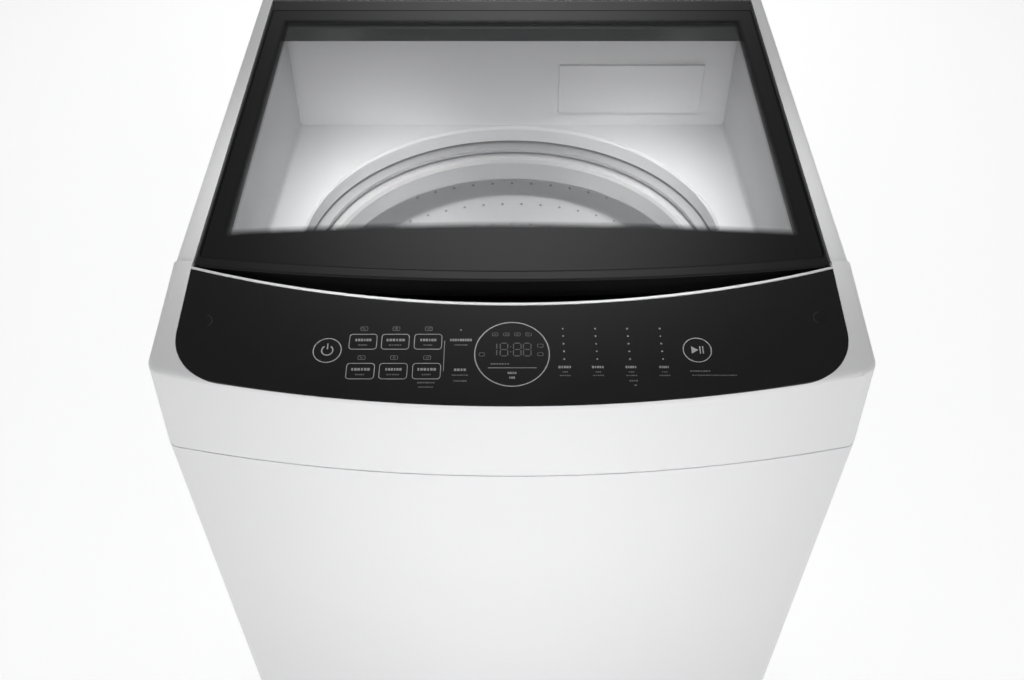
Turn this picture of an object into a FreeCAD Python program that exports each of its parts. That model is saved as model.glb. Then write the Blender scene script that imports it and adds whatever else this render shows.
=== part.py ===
"""Top load washing machine, in millimetres. +Z is up and the front faces -Y.

The origin is on the floor, under the centre of the machine.
"""
import FreeCAD, Part
import math
import os

os.makedirs("parts", exist_ok=True)

# ---------------------------------------------------------------- overall sizes
WIDTH = 590.0
DEPTH = 606.0
HEIGHT = 960.0
TOP_HEIGHT = 170.0          # height of the plastic top above the steel cabinet
FRONT_BOW_DEPTH = 34.0      # how far the front bulges between its side edges
FRONT_CORNER = 14.0         # radius of the upright front corners
REAR_SETBACK = 4.0          # steel rear panel behind the top's rear face
SHEET = 1.0                 # cabinet sheet steel
SEAM_GAP = 1.5              # shadow line between cabinet and top

# ---------------------------------------------------------------- base and feet
FLOOR_CLEARANCE = 20.0
BASE_HEIGHT = 42.0          # visible height of the moulded base
BASE_WALL = 4.0
BASE_TONGUE = 14.0          # part of the base that stands inside the cabinet
BASE_SERVICE_RADIUS = 190.0
FOOT_INSET = 52.0
FOOT_RADIUS = 21.0
FOOT_PAD = 6.0
FOOT_STEM_RADIUS = 5.0
FOOT_STEM_LENGTH = 46.0
FOOT_BOSS_RADIUS = 15.0
RUNNING_GAP = 0.06

# ---------------------------------------------------------------- plastic top
TOP_WALL = 3.0
TOP_TAPER = 9.0             # each side leans in by this much up to the full height
TOP_LEAN = 7.3              # the front leans back by this much up to the full height
PANEL_FRONT_RISE = 79.0     # panel's front edge above the seam
PANEL_SLOPE = 14.7
PANEL_LIP = 1.4             # white edge left in front of the panel
PANEL_THICKNESS = 2.5
PANEL_CORNER = 48.0
PANEL_GAP = 0.25
SIDE_BAND = 23.3            # from the cabinet side to the edge of panel and lid
TRIM_CENTRE_SETBACK = 97.9
TRIM_SIDE_SETBACK = 134.2
TRIM_WIDTH = 2.4
TOP_JOINT_SETBACK = 140.0   # line where the front cover meets the rear cover
RECESS_DEPTH = 42.0         # finger recess, below the panel's surface
RECESS_REAR_SETBACK = 153.0
RECESS_LINER = 1.5

# ---------------------------------------------------------------- lid
LID_CENTRE_SETBACK = 122.4
LID_SIDE_SETBACK = 139.4
LID_FRONT_RISE = 109.1      # lid's front edge above the seam
LID_REAR_STEP = 4.2         # lid's top below the full height, at the hinge
LID_SIDE_GAP = 1.2
LID_THICKNESS = 20.0
LID_SEAT_GAP = 3.0          # filled by the rubber bumpers
LID_LIP_WIDTH = 10.0
LID_GLASS = 4.0
LID_CORNER = 6.0
LID_BORDER_SIDE = 16.0      # frame width beside the window
LID_BORDER_FRONT = 52.0
LID_BORDER_FRONT_SIDE = 39.0
LID_BORDER_REAR = 48.0
HINGE_SETBACK = 53.0        # hinge line from the rear face
HINGE_BARREL = 10.5
HINGE_PIN_RADIUS = 4.5
HINGE_PIN_LENGTH = 22.0
HINGE_BOSS_RADIUS = 9.0
DECK_GAP = 2.5              # between the lid's barrel and the rear deck

# ---------------------------------------------------------------- wash unit
TUB_SWING_GAP = 32.0        # free space between tub and cabinet
TUB_WALL = 3.5
TUB_FLOOR = 5.0
TUB_TO_SEAM = 2.0           # tub cover's top below the seam
BASKET_GAP = 14.5
BASKET_SHEET = 1.0
DRIVE_SPACE = 297.0         # room for the drive, from the base's top to the basket's floor
BASKET_TO_COVER = 9.0       # balance ring's top below the tub cover's top
BALANCE_RING_WIDTH = 44.0
BALANCE_RING_HEIGHT = 34.0
SHROUD_MARGIN = 18.0        # shroud opening outside the basket's mouth
SHROUD_PLATE_RISE = 22.0    # shroud plate above the seam
SHROUD_COLLAR = 15.0
ROD_INSET_X = 60.0
ROD_INSET_Y = 73.0
ROD_RADIUS = 4.0
SPRING_LENGTH = 112.0
SPRING_RADIUS = 14.0
SPRING_WIRE = 2.0
SPRING_TURNS = 9
WASH_SHAFT_RADIUS = 10.0
SPIN_SHAFT_RADIUS = 18.0

# ---------------------------------------------------------------- derived places
HALF_WIDTH = WIDTH / 2
FRONT_Y = -DEPTH / 2
REAR_Y = DEPTH / 2
SEAM_Z = HEIGHT - TOP_HEIGHT
CABINET_REAR_Y = REAR_Y - REAR_SETBACK
BASE_TOP_Z = FLOOR_CLEARANCE + BASE_HEIGHT
FRONT_BOW = (HALF_WIDTH ** 2 + FRONT_BOW_DEPTH ** 2) / (2 * FRONT_BOW_DEPTH)
PANEL_HALF = HALF_WIDTH - SIDE_BAND
PANEL_FRONT_Y = FRONT_Y + TOP_LEAN * PANEL_FRONT_RISE / TOP_HEIGHT
PANEL_FRONT_Z = SEAM_Z + PANEL_FRONT_RISE
PANEL_TAN = math.tan(math.radians(PANEL_SLOPE))
TRIM_CENTRE_Y = FRONT_Y + TRIM_CENTRE_SETBACK
TRIM_SIDE_Y = FRONT_Y + TRIM_SIDE_SETBACK
JOINT_Y = FRONT_Y + TOP_JOINT_SETBACK
RECESS_REAR_Y = FRONT_Y + RECESS_REAR_SETBACK
HINGE_Y = REAR_Y - HINGE_SETBACK
LID_FRONT_Y = FRONT_Y + LID_CENTRE_SETBACK
LID_FRONT_Z = SEAM_Z + LID_FRONT_RISE
LID_REAR_Z = HEIGHT - LID_REAR_STEP
LID_TAN = (LID_REAR_Z - LID_FRONT_Z) / (HINGE_Y - LID_FRONT_Y)
LID_SLOPE = math.degrees(math.atan(LID_TAN))
HINGE_Z = LID_REAR_Z - HINGE_BARREL / math.cos(math.radians(LID_SLOPE))
LID_HALF = PANEL_HALF
DECK_FRONT_Y = HINGE_Y + HINGE_BARREL + DECK_GAP
LID_SEAT_DEPTH = LID_THICKNESS + LID_SEAT_GAP

TUB_RADIUS = min(WIDTH, DEPTH) / 2 - SHEET - TUB_SWING_GAP
TUB_INNER = TUB_RADIUS - TUB_WALL
BASKET_RADIUS = TUB_INNER - BASKET_GAP
MOUTH_RADIUS = BASKET_RADIUS - BALANCE_RING_WIDTH
OPENING_RADIUS = MOUTH_RADIUS + SHROUD_MARGIN
TUB_TOP_Z = SEAM_Z - TUB_TO_SEAM
BALANCE_TOP_Z = TUB_TOP_Z - BASKET_TO_COVER
BASKET_FLOOR_Z = BASE_TOP_Z + DRIVE_SPACE
SHROUD_Z = SEAM_Z + SHROUD_PLATE_RISE
ROD_X = HALF_WIDTH - ROD_INSET_X
ROD_Y = REAR_Y - ROD_INSET_Y
CORNERS = [(-1, -1), (1, -1), (-1, 1), (1, 1)]


# ---------------------------------------------------------------- helpers
def vec(x, y, z=0.0):
    return FreeCAD.Vector(x, y, z)


def save(shape, node):
    if len(shape.Solids) == 1:
        shape = shape.Solids[0]
    shape.exportStep("parts/" + node + ".step")


def box(x0, x1, y0, y1, z0, z1):
    return Part.makeBox(x1 - x0, y1 - y0, z1 - z0, vec(x0, y0, z0))


def cylinder(radius, z0, z1, x=0.0, y=0.0):
    return Part.makeCylinder(radius, z1 - z0, vec(x, y, z0))


def tube(outer, inner, z0, z1, x=0.0, y=0.0):
    return cylinder(outer, z0, z1, x, y).cut(cylinder(inner, z0 - 1, z1 + 1, x, y))


def cylinder_x(radius, x0, x1, y, z):
    return Part.makeCylinder(radius, x1 - x0, vec(x0, y, z), vec(1, 0, 0))


def cylinder_y(radius, y0, y1, x, z):
    return Part.makeCylinder(radius, y1 - y0, vec(x, y0, z), vec(0, 1, 0))


def prism(face, z0, z1):
    """Upright solid on a flat outline drawn at z = 0."""
    solid = face.extrude(vec(0, 0, z1 - z0))
    solid.translate(vec(0, 0, z0))
    return solid


def plan_polygon(points, z0, z1):
    wire = Part.makePolygon([vec(x, y) for x, y in points + points[:1]])
    return prism(Part.Face(wire), z0, z1)


def side_polygon(points, x0, x1):
    """Solid with a side view given as (y, z) points, from x0 to x1."""
    wire = Part.makePolygon([vec(x0, y, z) for y, z in points + points[:1]])
    return Part.Face(wire).extrude(vec(x1 - x0, 0, 0))


def turned(points):
    """Solid of revolution about the Z axis from (radius, z) points."""
    wire = Part.makePolygon([vec(r, 0, z) for r, z in points + points[:1]])
    return Part.Face(wire).revolve(vec(0, 0, 0), vec(0, 0, 1), 360)


def fuse(first, *others):
    return first.multiFuse(list(others)).removeSplitter()


def cut(first, *others):
    return first.cut(Part.makeCompound(list(others)))


def mirrored(shape):
    return shape.mirror(vec(0, 0, 0), vec(1, 0, 0))


def line(a, b):
    return Part.LineSegment(a, b).toShape()


def arc(a, middle, b):
    return Part.Arc(a, middle, b).toShape()


def bowed_wire(side, front, bow, corner, rear_side, rear_centre=None, z=0.0):
    """Outline with straight sides, a bulging front, round front corners and a flat or curved rear."""
    bow_y = front + bow
    corner_x = side - corner
    corner_y = bow_y - math.sqrt((bow - corner) ** 2 - corner_x ** 2)
    toward = vec(corner_x, corner_y - bow_y)
    toward.normalize()
    touch = vec(0, bow_y, z) + toward * bow
    between = toward + vec(1, 0)
    between.normalize()
    middle = vec(corner_x, corner_y, z) + between * corner
    side_start = vec(side, corner_y, z)
    side_end = vec(side, rear_side, z)

    def left(point):
        return vec(-point.x, point.y, point.z)

    if rear_centre is None:
        rear = line(side_end, left(side_end))
    else:
        rear = arc(side_end, vec(0, rear_centre, z), left(side_end))
    return Part.Wire([
        arc(left(touch), vec(0, front, z), touch),
        arc(touch, middle, side_start),
        line(side_start, side_end),
        rear,
        line(left(side_end), left(side_start)),
        arc(left(side_start), left(middle), left(touch)),
    ])


def bowed_face(side, front, bow, corner, rear_side, rear_centre=None):
    return Part.Face(bowed_wire(side, front, bow, corner, rear_side, rear_centre))


def cabinet_prism(inset, z0, z1, rear=CABINET_REAR_Y):
    """The cabinet's outline, moved inwards by `inset` at the front and sides."""
    corner = max(FRONT_CORNER - inset, 1.0)
    face = bowed_face(HALF_WIDTH - inset, FRONT_Y + inset, FRONT_BOW - inset, corner, rear)
    return prism(face, z0, z1)


def rounded_box(x0, x1, y0, y1, z0, z1, radius):
    """Box with its four upright edges rounded."""
    shape = box(x0, x1, y0, y1, z0, z1)
    upright = [e for e in shape.Edges if abs(e.Vertexes[0].Z - e.Vertexes[1].Z) > 1e-6]
    return shape.makeFillet(radius, upright)


def panel_z(y):
    """Height of the control panel's surface at depth y."""
    return PANEL_FRONT_Z + (y - PANEL_FRONT_Y) * PANEL_TAN


def lid_z(y):
    """Height of the lid's surface at depth y."""
    return LID_FRONT_Z + (y - LID_FRONT_Y) * LID_TAN


def above_plane(height_at, drop, y0, y1, side):
    """Everything above a sloping surface, lowered by `drop`, between two depths."""
    top = HEIGHT + 60
    return side_polygon([(y0, height_at(y0) - drop), (y1, height_at(y1) - drop), (y1, top), (y0, top)],
                        -side, side)


def on_panel(shape):
    """Put a shape drawn flat, with its front edge at y = 0, onto the panel's slope."""
    placed = shape.copy()
    placed.rotate(vec(0, 0, 0), vec(1, 0, 0), PANEL_SLOPE)
    placed.translate(vec(0, PANEL_FRONT_Y, PANEL_FRONT_Z))
    return placed


def on_lid(shape):
    """Put a shape drawn flat, with the hinge line on the X axis, onto the lid's slope."""
    placed = shape.copy()
    placed.rotate(vec(0, 0, 0), vec(1, 0, 0), LID_SLOPE)
    placed.translate(vec(0, HINGE_Y, HINGE_Z))
    return placed


# ---------------------------------------------------------------- cabinet and base
RETURN_FLANGE = 18.0        # rear edges of the wrap, bent inwards
GRIP_LENGTH = 120.0
GRIP_HEIGHT = 46.0
GRIP_DEPTH = 18.0
GRIP_RISE = 120.0           # grip's centre below the seam
GRIP_WALL = 2.0
GRIP_FLANGE = 5.0
CORD_GLAND_RADIUS = 9.0
DRAIN_OUTLET_RADIUS = 12.0
DRAIN_OUTLET_BORE = 9.5
SCREW_HEAD_RADIUS = 4.0
SCREW_HEAD = 2.0
SCREW_RADIUS = 1.9
REAR_PORT_Z = BASE_TOP_Z + 60
DRAIN_X = HALF_WIDTH - 75
GLAND_X = 75 - HALF_WIDTH
GRIP_Z = SEAM_Z - GRIP_RISE


def grip_window(x0, x1, grow):
    """Opening for a side grip, larger by `grow` all round."""
    half = GRIP_LENGTH / 2 + grow
    tall = GRIP_HEIGHT / 2 + grow
    block = box(x0, x1, -half, half, GRIP_Z - tall, GRIP_Z + tall)
    along = [e for e in block.Edges if abs(e.Vertexes[0].X - e.Vertexes[1].X) > 1e-6]
    return block.makeFillet(12 + grow, along)


def make_cabinet_wrap():
    top = SEAM_Z - SEAM_GAP
    shell = cabinet_prism(0, BASE_TOP_Z, top).cut(
        cabinet_prism(SHEET, BASE_TOP_Z - 1, top + 1, CABINET_REAR_Y + 1))
    flange_rear = CABINET_REAR_Y - SHEET
    flanges = [box(HALF_WIDTH - RETURN_FLANGE, HALF_WIDTH - SHEET / 2, flange_rear - SHEET, flange_rear,
                   BASE_TOP_Z, top)]
    flanges.append(mirrored(flanges[0]))
    shell = fuse(shell, *flanges)
    window = grip_window(HALF_WIDTH - 5, HALF_WIDTH + 5, 0)
    shell = cut(shell, window, mirrored(window))
    save(shell, "cabinet_wrap")


def rear_screw_places():
    inset = HALF_WIDTH - RETURN_FLANGE / 2 - SHEET
    low = BASE_TOP_Z + 30
    high = SEAM_Z - 30
    rows = 4
    heights = [low + (high - low) * i / (rows - 1) for i in range(rows)]
    return [(side * inset, z) for side in (-1, 1) for z in heights]


def make_rear_panel():
    front = CABINET_REAR_Y - SHEET
    half = HALF_WIDTH - SHEET - 0.2
    top = SEAM_Z - SEAM_GAP
    plate = box(-half, half, front, CABINET_REAR_Y, BASE_TOP_Z, top)
    bead = 8.0
    beads = []
    for share in (0.3, 0.5, 0.7):
        z = BASE_TOP_Z + (top - BASE_TOP_Z) * share
        beads.append(box(60 - half, half - 60, CABINET_REAR_Y - SHEET / 2, CABINET_REAR_Y + 1.6,
                         z - bead, z + bead))
    rounded = []
    for block in beads:
        outer = [e for e in block.Edges if e.CenterOfMass.y > CABINET_REAR_Y + 1]
        rounded.append(block.makeChamfer(1.2, outer))
    plate = fuse(plate, *rounded)
    holes = [cylinder_y(SCREW_RADIUS + 0.1, front - 1, CABINET_REAR_Y + 1, x, z)
             for x, z in rear_screw_places()]
    holes.append(cylinder_y(CORD_GLAND_RADIUS, front - 1, CABINET_REAR_Y + 1, GLAND_X, REAR_PORT_Z))
    holes.append(cylinder_y(DRAIN_OUTLET_RADIUS, front - 1, CABINET_REAR_Y + 1, DRAIN_X, REAR_PORT_Z))
    save(cut(plate, *holes), "rear_panel")


def make_casing_screws():
    """Eight screws through the rear panel."""
    screws = []
    for x, z in rear_screw_places():
        head = cylinder_y(SCREW_HEAD_RADIUS, CABINET_REAR_Y, CABINET_REAR_Y + SCREW_HEAD, x, z)
        screws.append(fuse(head, cylinder_y(SCREW_RADIUS, CABINET_REAR_Y - SHEET, CABINET_REAR_Y, x, z)))
    save(Part.makeCompound(screws), "casing_screws")


def make_side_grips():
    """Moulded hand pockets set into the cabinet sides, open outwards."""
    outside = HALF_WIDTH
    body = grip_window(outside - GRIP_DEPTH, outside - SHEET / 2, -0.2)
    flange = grip_window(outside - SHEET - GRIP_WALL, outside - SHEET, GRIP_FLANGE)
    hollow = grip_window(outside - GRIP_DEPTH + GRIP_WALL, outside + 1, -GRIP_WALL)
    pocket = fuse(body, flange).cut(hollow)
    save(Part.makeCompound([pocket, mirrored(pocket)]), "side_grips")


def foot_places():
    x = HALF_WIDTH - FOOT_INSET
    front = FRONT_Y + FOOT_INSET + FRONT_BOW_DEPTH
    rear = CABINET_REAR_Y - FOOT_INSET
    return {"front_left": (-x, front), "front_right": (x, front), "rear_left": (-x, rear),
            "rear_right": (x, rear)}


def make_base():
    outer = cabinet_prism(0, FLOOR_CLEARANCE, BASE_TOP_Z)
    tongue_inset = SHEET + 0.3
    tongue_rear = CABINET_REAR_Y - 2 * SHEET - 0.3
    tongue = cabinet_prism(tongue_inset, BASE_TOP_Z - 1, BASE_TOP_Z + BASE_TONGUE, tongue_rear)
    inner = cabinet_prism(tongue_inset + BASE_WALL, FLOOR_CLEARANCE + BASE_WALL,
                          BASE_TOP_Z + BASE_TONGUE + 1, tongue_rear - BASE_WALL)
    frame = outer.fuse(tongue).cut(inner)
    bosses = [cylinder(FOOT_BOSS_RADIUS, FLOOR_CLEARANCE + 1, BASE_TOP_Z, x, y)
              for x, y in foot_places().values()]
    frame = fuse(frame, *bosses)
    bores = [cylinder(FOOT_STEM_RADIUS + RUNNING_GAP, 0, BASE_TOP_Z + 5, x, y)
             for x, y in foot_places().values()]
    bores.append(cylinder(BASE_SERVICE_RADIUS, 0, FLOOR_CLEARANCE + BASE_WALL + 1))
    save(frame.cut(Part.makeCompound(bores)).removeSplitter(), "base_frame")

    guard = cylinder(BASE_SERVICE_RADIUS + 12, FLOOR_CLEARANCE - 3, FLOOR_CLEARANCE)
    slots = []
    for i in range(-7, 8):
        x = i * 22.0
        reach = math.sqrt((BASE_SERVICE_RADIUS - 22) ** 2 - x ** 2)
        slots.append(box(x - 4, x + 4, -reach, -8, FLOOR_CLEARANCE - 4, FLOOR_CLEARANCE + 1))
        slots.append(box(x - 4, x + 4, 8, reach, FLOOR_CLEARANCE - 4, FLOOR_CLEARANCE + 1))
    save(cut(guard, *slots), "base_guard")


def foot(x, y, adjustable):
    profile = [(0, 0), (FOOT_RADIUS - 2, 0), (FOOT_RADIUS, 2), (FOOT_RADIUS, FOOT_PAD),
               (FOOT_RADIUS - 5, FOOT_PAD + 3), (FOOT_STEM_RADIUS + 4, FOOT_PAD + 5)]
    if adjustable:
        top = FOOT_PAD + FOOT_STEM_LENGTH
        profile += [(FOOT_STEM_RADIUS, FOOT_PAD + 5)]
    else:
        top = FOOT_PAD + FOOT_STEM_LENGTH - 10
        profile += [(FOOT_STEM_RADIUS + 4, FLOOR_CLEARANCE), (FOOT_STEM_RADIUS, FLOOR_CLEARANCE)]
    profile += [(FOOT_STEM_RADIUS, top - 1), (FOOT_STEM_RADIUS - 1, top), (0, top)]
    solid = turned(profile)
    solid.translate(vec(x, y, 0))
    return solid


def make_feet():
    places = foot_places()
    nuts = []
    for side in ("left", "right"):
        x, y = places["front_" + side]
        save(foot(x, y, True), "front_foot_" + side)
        nut = Part.makePolygon([vec(x + 9 * math.cos(math.radians(60 * i)),
                                    y + 9 * math.sin(math.radians(60 * i))) for i in range(7)])
        low = FLOOR_CLEARANCE - 5.5
        nut = prism(Part.Face(nut), low, FLOOR_CLEARANCE - 0.3)
        nuts.append(nut.cut(cylinder(FOOT_STEM_RADIUS + RUNNING_GAP, 0, FLOOR_CLEARANCE, x, y)))
    save(Part.makeCompound(nuts), "foot_lock_nuts")
    rear = [foot(*places["rear_" + side], False) for side in ("left", "right")]
    save(Part.makeCompound(rear), "rear_feet")


def make_rear_ports():
    inside = CABINET_REAR_Y - SHEET
    gland = fuse(cylinder_y(CORD_GLAND_RADIUS - 0.2, inside - 10, CABINET_REAR_Y + 2, GLAND_X, REAR_PORT_Z),
                 cylinder_y(CORD_GLAND_RADIUS + 3, CABINET_REAR_Y, CABINET_REAR_Y + 2, GLAND_X, REAR_PORT_Z),
                 cylinder_y(CORD_GLAND_RADIUS + 3, inside - 3, inside, GLAND_X, REAR_PORT_Z))
    save(gland.cut(cylinder_y(3.8, inside - 12, CABINET_REAR_Y + 4, GLAND_X, REAR_PORT_Z)), "cord_gland")
    elbow = fuse(cylinder_y(DRAIN_OUTLET_RADIUS - 0.2, inside - 40, CABINET_REAR_Y + 3.5,
                            DRAIN_X, REAR_PORT_Z),
                 cylinder_y(DRAIN_OUTLET_RADIUS + 5, inside - 3, inside, DRAIN_X, REAR_PORT_Z))
    save(elbow.cut(cylinder_y(DRAIN_OUTLET_BORE, inside - 45, CABINET_REAR_Y + 5, DRAIN_X, REAR_PORT_Z)),
         "drain_outlet")


# ---------------------------------------------------------------- plastic top
TOP_FILLET = 5.0
SKIRT_DROP = 9.0
INLET_X = -60.0
INLET_SPACING = 44.0
INLET_RADIUS = 13.2
INLET_NECK = 12.0           # plain neck that passes through the niche wall
INLET_BORE = 8.5
INLET_LENGTH = 14.0         # threaded length
INLET_NECK_GAP = 1.5        # thread starts this far outside the niche wall
INLET_Z = SEAM_Z + 108
INLET_POCKET_DEPTH = 26.0
DRAWER_X0 = 60.0
DRAWER_X1 = 220.0
DRAWER_Z0 = SHROUD_Z + 24
DRAWER_Z1 = SHROUD_Z + 78
DRAWER_GAP = 0.8
WELL_MARGIN = 10.0          # shroud's side walls inside the lid's edge
WELL_HALF = LID_HALF - WELL_MARGIN
WELL_REAR_Y = OPENING_RADIUS + 6
PANEL_ROOF = 2.5            # cover material under the control panel
TRAY_HALF = PANEL_HALF - 80
TRAY_FRONT = 28.0
TRAY_REAR = 84.0
POWER_BOX_HEIGHT = 40.0


def top_block(inset, low=SEAM_Z):
    """The tapering outer form of the plastic top, moved inwards by `inset`, down to the height `low`."""
    sections = []
    for z, share in ((low, 0.0), (HEIGHT, 1.0)):
        side = HALF_WIDTH - inset - TOP_TAPER * share
        front = FRONT_Y + inset + TOP_LEAN * share
        sections.append(bowed_wire(side, front, FRONT_BOW - inset, max(FRONT_CORNER - inset, 2.0),
                                   REAR_Y - inset, z=z))
    return Part.makeLoft(sections, True, True)


def panel_outline(grow, rear_grow):
    """Flat outline of the control panel in its own plane, front edge at y = 0."""
    cosine = math.cos(math.radians(PANEL_SLOPE))
    rear_side = (TRIM_SIDE_Y - PANEL_FRONT_Y) / cosine + rear_grow
    rear_centre = (TRIM_CENTRE_Y - PANEL_FRONT_Y) / cosine + rear_grow
    return bowed_face(PANEL_HALF + grow, PANEL_LIP - grow, FRONT_BOW, PANEL_CORNER, rear_side, rear_centre)


def recess_face(front_grow, side_grow, rear):
    """Plan outline of the finger recess, from the trim strip back to `rear`."""
    side = PANEL_HALF + side_grow
    return Part.Face(Part.Wire([
        arc(vec(side, TRIM_SIDE_Y - front_grow), vec(0, TRIM_CENTRE_Y - front_grow),
            vec(-side, TRIM_SIDE_Y - front_grow)),
        line(vec(-side, TRIM_SIDE_Y - front_grow), vec(-side, rear)),
        line(vec(-side, rear), vec(side, rear)),
        line(vec(side, rear), vec(side, TRIM_SIDE_Y - front_grow)),
    ]))


RECESS_FLOOR_Z = panel_z(TRIM_CENTRE_Y) - RECESS_DEPTH


def make_front_cover():
    top = HEIGHT + 80
    front_part = box(-WIDTH, WIDTH, FRONT_Y - 10, JOINT_Y, SEAM_Z - 1, top)
    middle_half = PANEL_HALF + LID_SIDE_GAP - 0.5
    middle_part = box(-middle_half, middle_half, JOINT_Y - 1, RECESS_REAR_Y, SEAM_Z - 1, top)
    block = top_block(0).cut(above_plane(panel_z, 0, FRONT_Y - 20, REAR_Y + 20, WIDTH))
    front = block.common(front_part)
    edges = [e for e in front.Edges if is_front_rim(e)]
    front = front.makeFillet(TOP_FILLET, edges)
    middle = block.common(middle_part)
    middle = middle.cut(above_plane(lid_z, LID_THICKNESS + 1.5, FRONT_Y, REAR_Y, WIDTH))
    solid = front.fuse(middle)
    hollow = top_block(TOP_WALL, SEAM_Z - 5).cut(
        above_plane(panel_z, PANEL_THICKNESS + PANEL_ROOF, FRONT_Y - 20, REAR_Y + 20, WIDTH))
    hollow = hollow.common(box(-WIDTH, WIDTH, FRONT_Y - 10, RECESS_REAR_Y + 5, SEAM_Z - 6, top))
    hollow = hollow.cut(prism(recess_face(TOP_WALL, TOP_WALL, RECESS_REAR_Y + 9),
                              RECESS_FLOOR_Z - TOP_WALL, top))
    recess = prism(recess_face(0, 0, RECESS_REAR_Y - TOP_WALL), RECESS_FLOOR_Z, top)
    pocket = on_panel(prism(panel_outline(PANEL_GAP, 30), -PANEL_THICKNESS, 60))
    tray_hole = on_panel(box(-TRAY_HALF, TRAY_HALF, TRAY_FRONT, TRAY_REAR, -20, 5))
    solid = solid.cut(hollow).cut(recess).cut(pocket).cut(tray_hole)
    skirt = top_skirt().common(box(-WIDTH, WIDTH, FRONT_Y - 1, JOINT_Y, 0, HEIGHT))
    save(solid.fuse(skirt).removeSplitter(), "front_cover")


def top_skirt():
    """Tongue under the plastic top that stands inside the cabinet's upper edge."""
    inset = SHEET + 0.3
    rear = CABINET_REAR_Y - 2 * SHEET - 1
    outer = cabinet_prism(inset, SEAM_Z - SKIRT_DROP, SEAM_Z + 4, rear)
    return outer.cut(cabinet_prism(TOP_WALL + 1.5, SEAM_Z - SKIRT_DROP - 1, SEAM_Z + 5, rear + 5))


def is_front_rim(edge):
    """Top outer edge of the front cover, where the sloping top meets the upright outside."""
    for share in (0.1, 0.5, 0.9):
        first, last = edge.ParameterRange
        point = edge.valueAt(first + (last - first) * share)
        if abs(point.z - panel_z(point.y)) > 0.01 or point.y > JOINT_Y - 0.5:
            return False
    return True


def make_control_panel():
    plate = prism(panel_outline(0, -TRIM_WIDTH), -PANEL_THICKNESS, 0)
    rim = [e for e in plate.Edges if abs(e.CenterOfMass.z) < 1e-6]
    save(on_panel(plate.makeChamfer(0.4, rim)), "control_panel")
    strip = prism(panel_outline(0, -0.05), -PANEL_THICKNESS, 0.3)
    strip = strip.cut(prism(panel_outline(0, -TRIM_WIDTH + 0.05), -20, 5))
    save(on_panel(strip), "panel_trim")


def make_grip_recess():
    """Black liner of the finger recess, with its front wall rising to the trim strip."""
    gap = 0.2
    low = RECESS_FLOOR_Z + gap
    rear = RECESS_REAR_Y - TOP_WALL - gap
    outer = prism(recess_face(-gap, -gap, rear), low, HEIGHT)
    outer = outer.cut(above_plane(panel_z, PANEL_THICKNESS + 0.5, FRONT_Y, REAR_Y, WIDTH))
    outer = outer.cut(above_plane(lid_z, LID_THICKNESS + 2.5, JOINT_Y - 2, REAR_Y, WIDTH))
    wall = RECESS_LINER + gap
    inner = prism(recess_face(-wall, -wall, rear - RECESS_LINER), low + RECESS_LINER, HEIGHT + 10)
    save(outer.cut(inner), "grip_recess")


def is_rear_rim(edge):
    """Top outer edge of the rear cover: along the side bands and round the rear deck."""
    middle = edge.valueAt(sum(edge.ParameterRange) / 2)
    on_roof = abs(middle.z - lid_z(middle.y)) < 0.01 or abs(middle.z - HEIGHT) < 0.01
    if not on_roof or middle.y < JOINT_Y + 0.5 or abs(middle.z - SEAM_Z) < 1:
        return False
    outside = abs(middle.x) > LID_HALF + 5 and abs(edge.Vertexes[0].Y - edge.Vertexes[-1].Y) > 1
    return outside or middle.y > REAR_Y - 0.5


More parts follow.
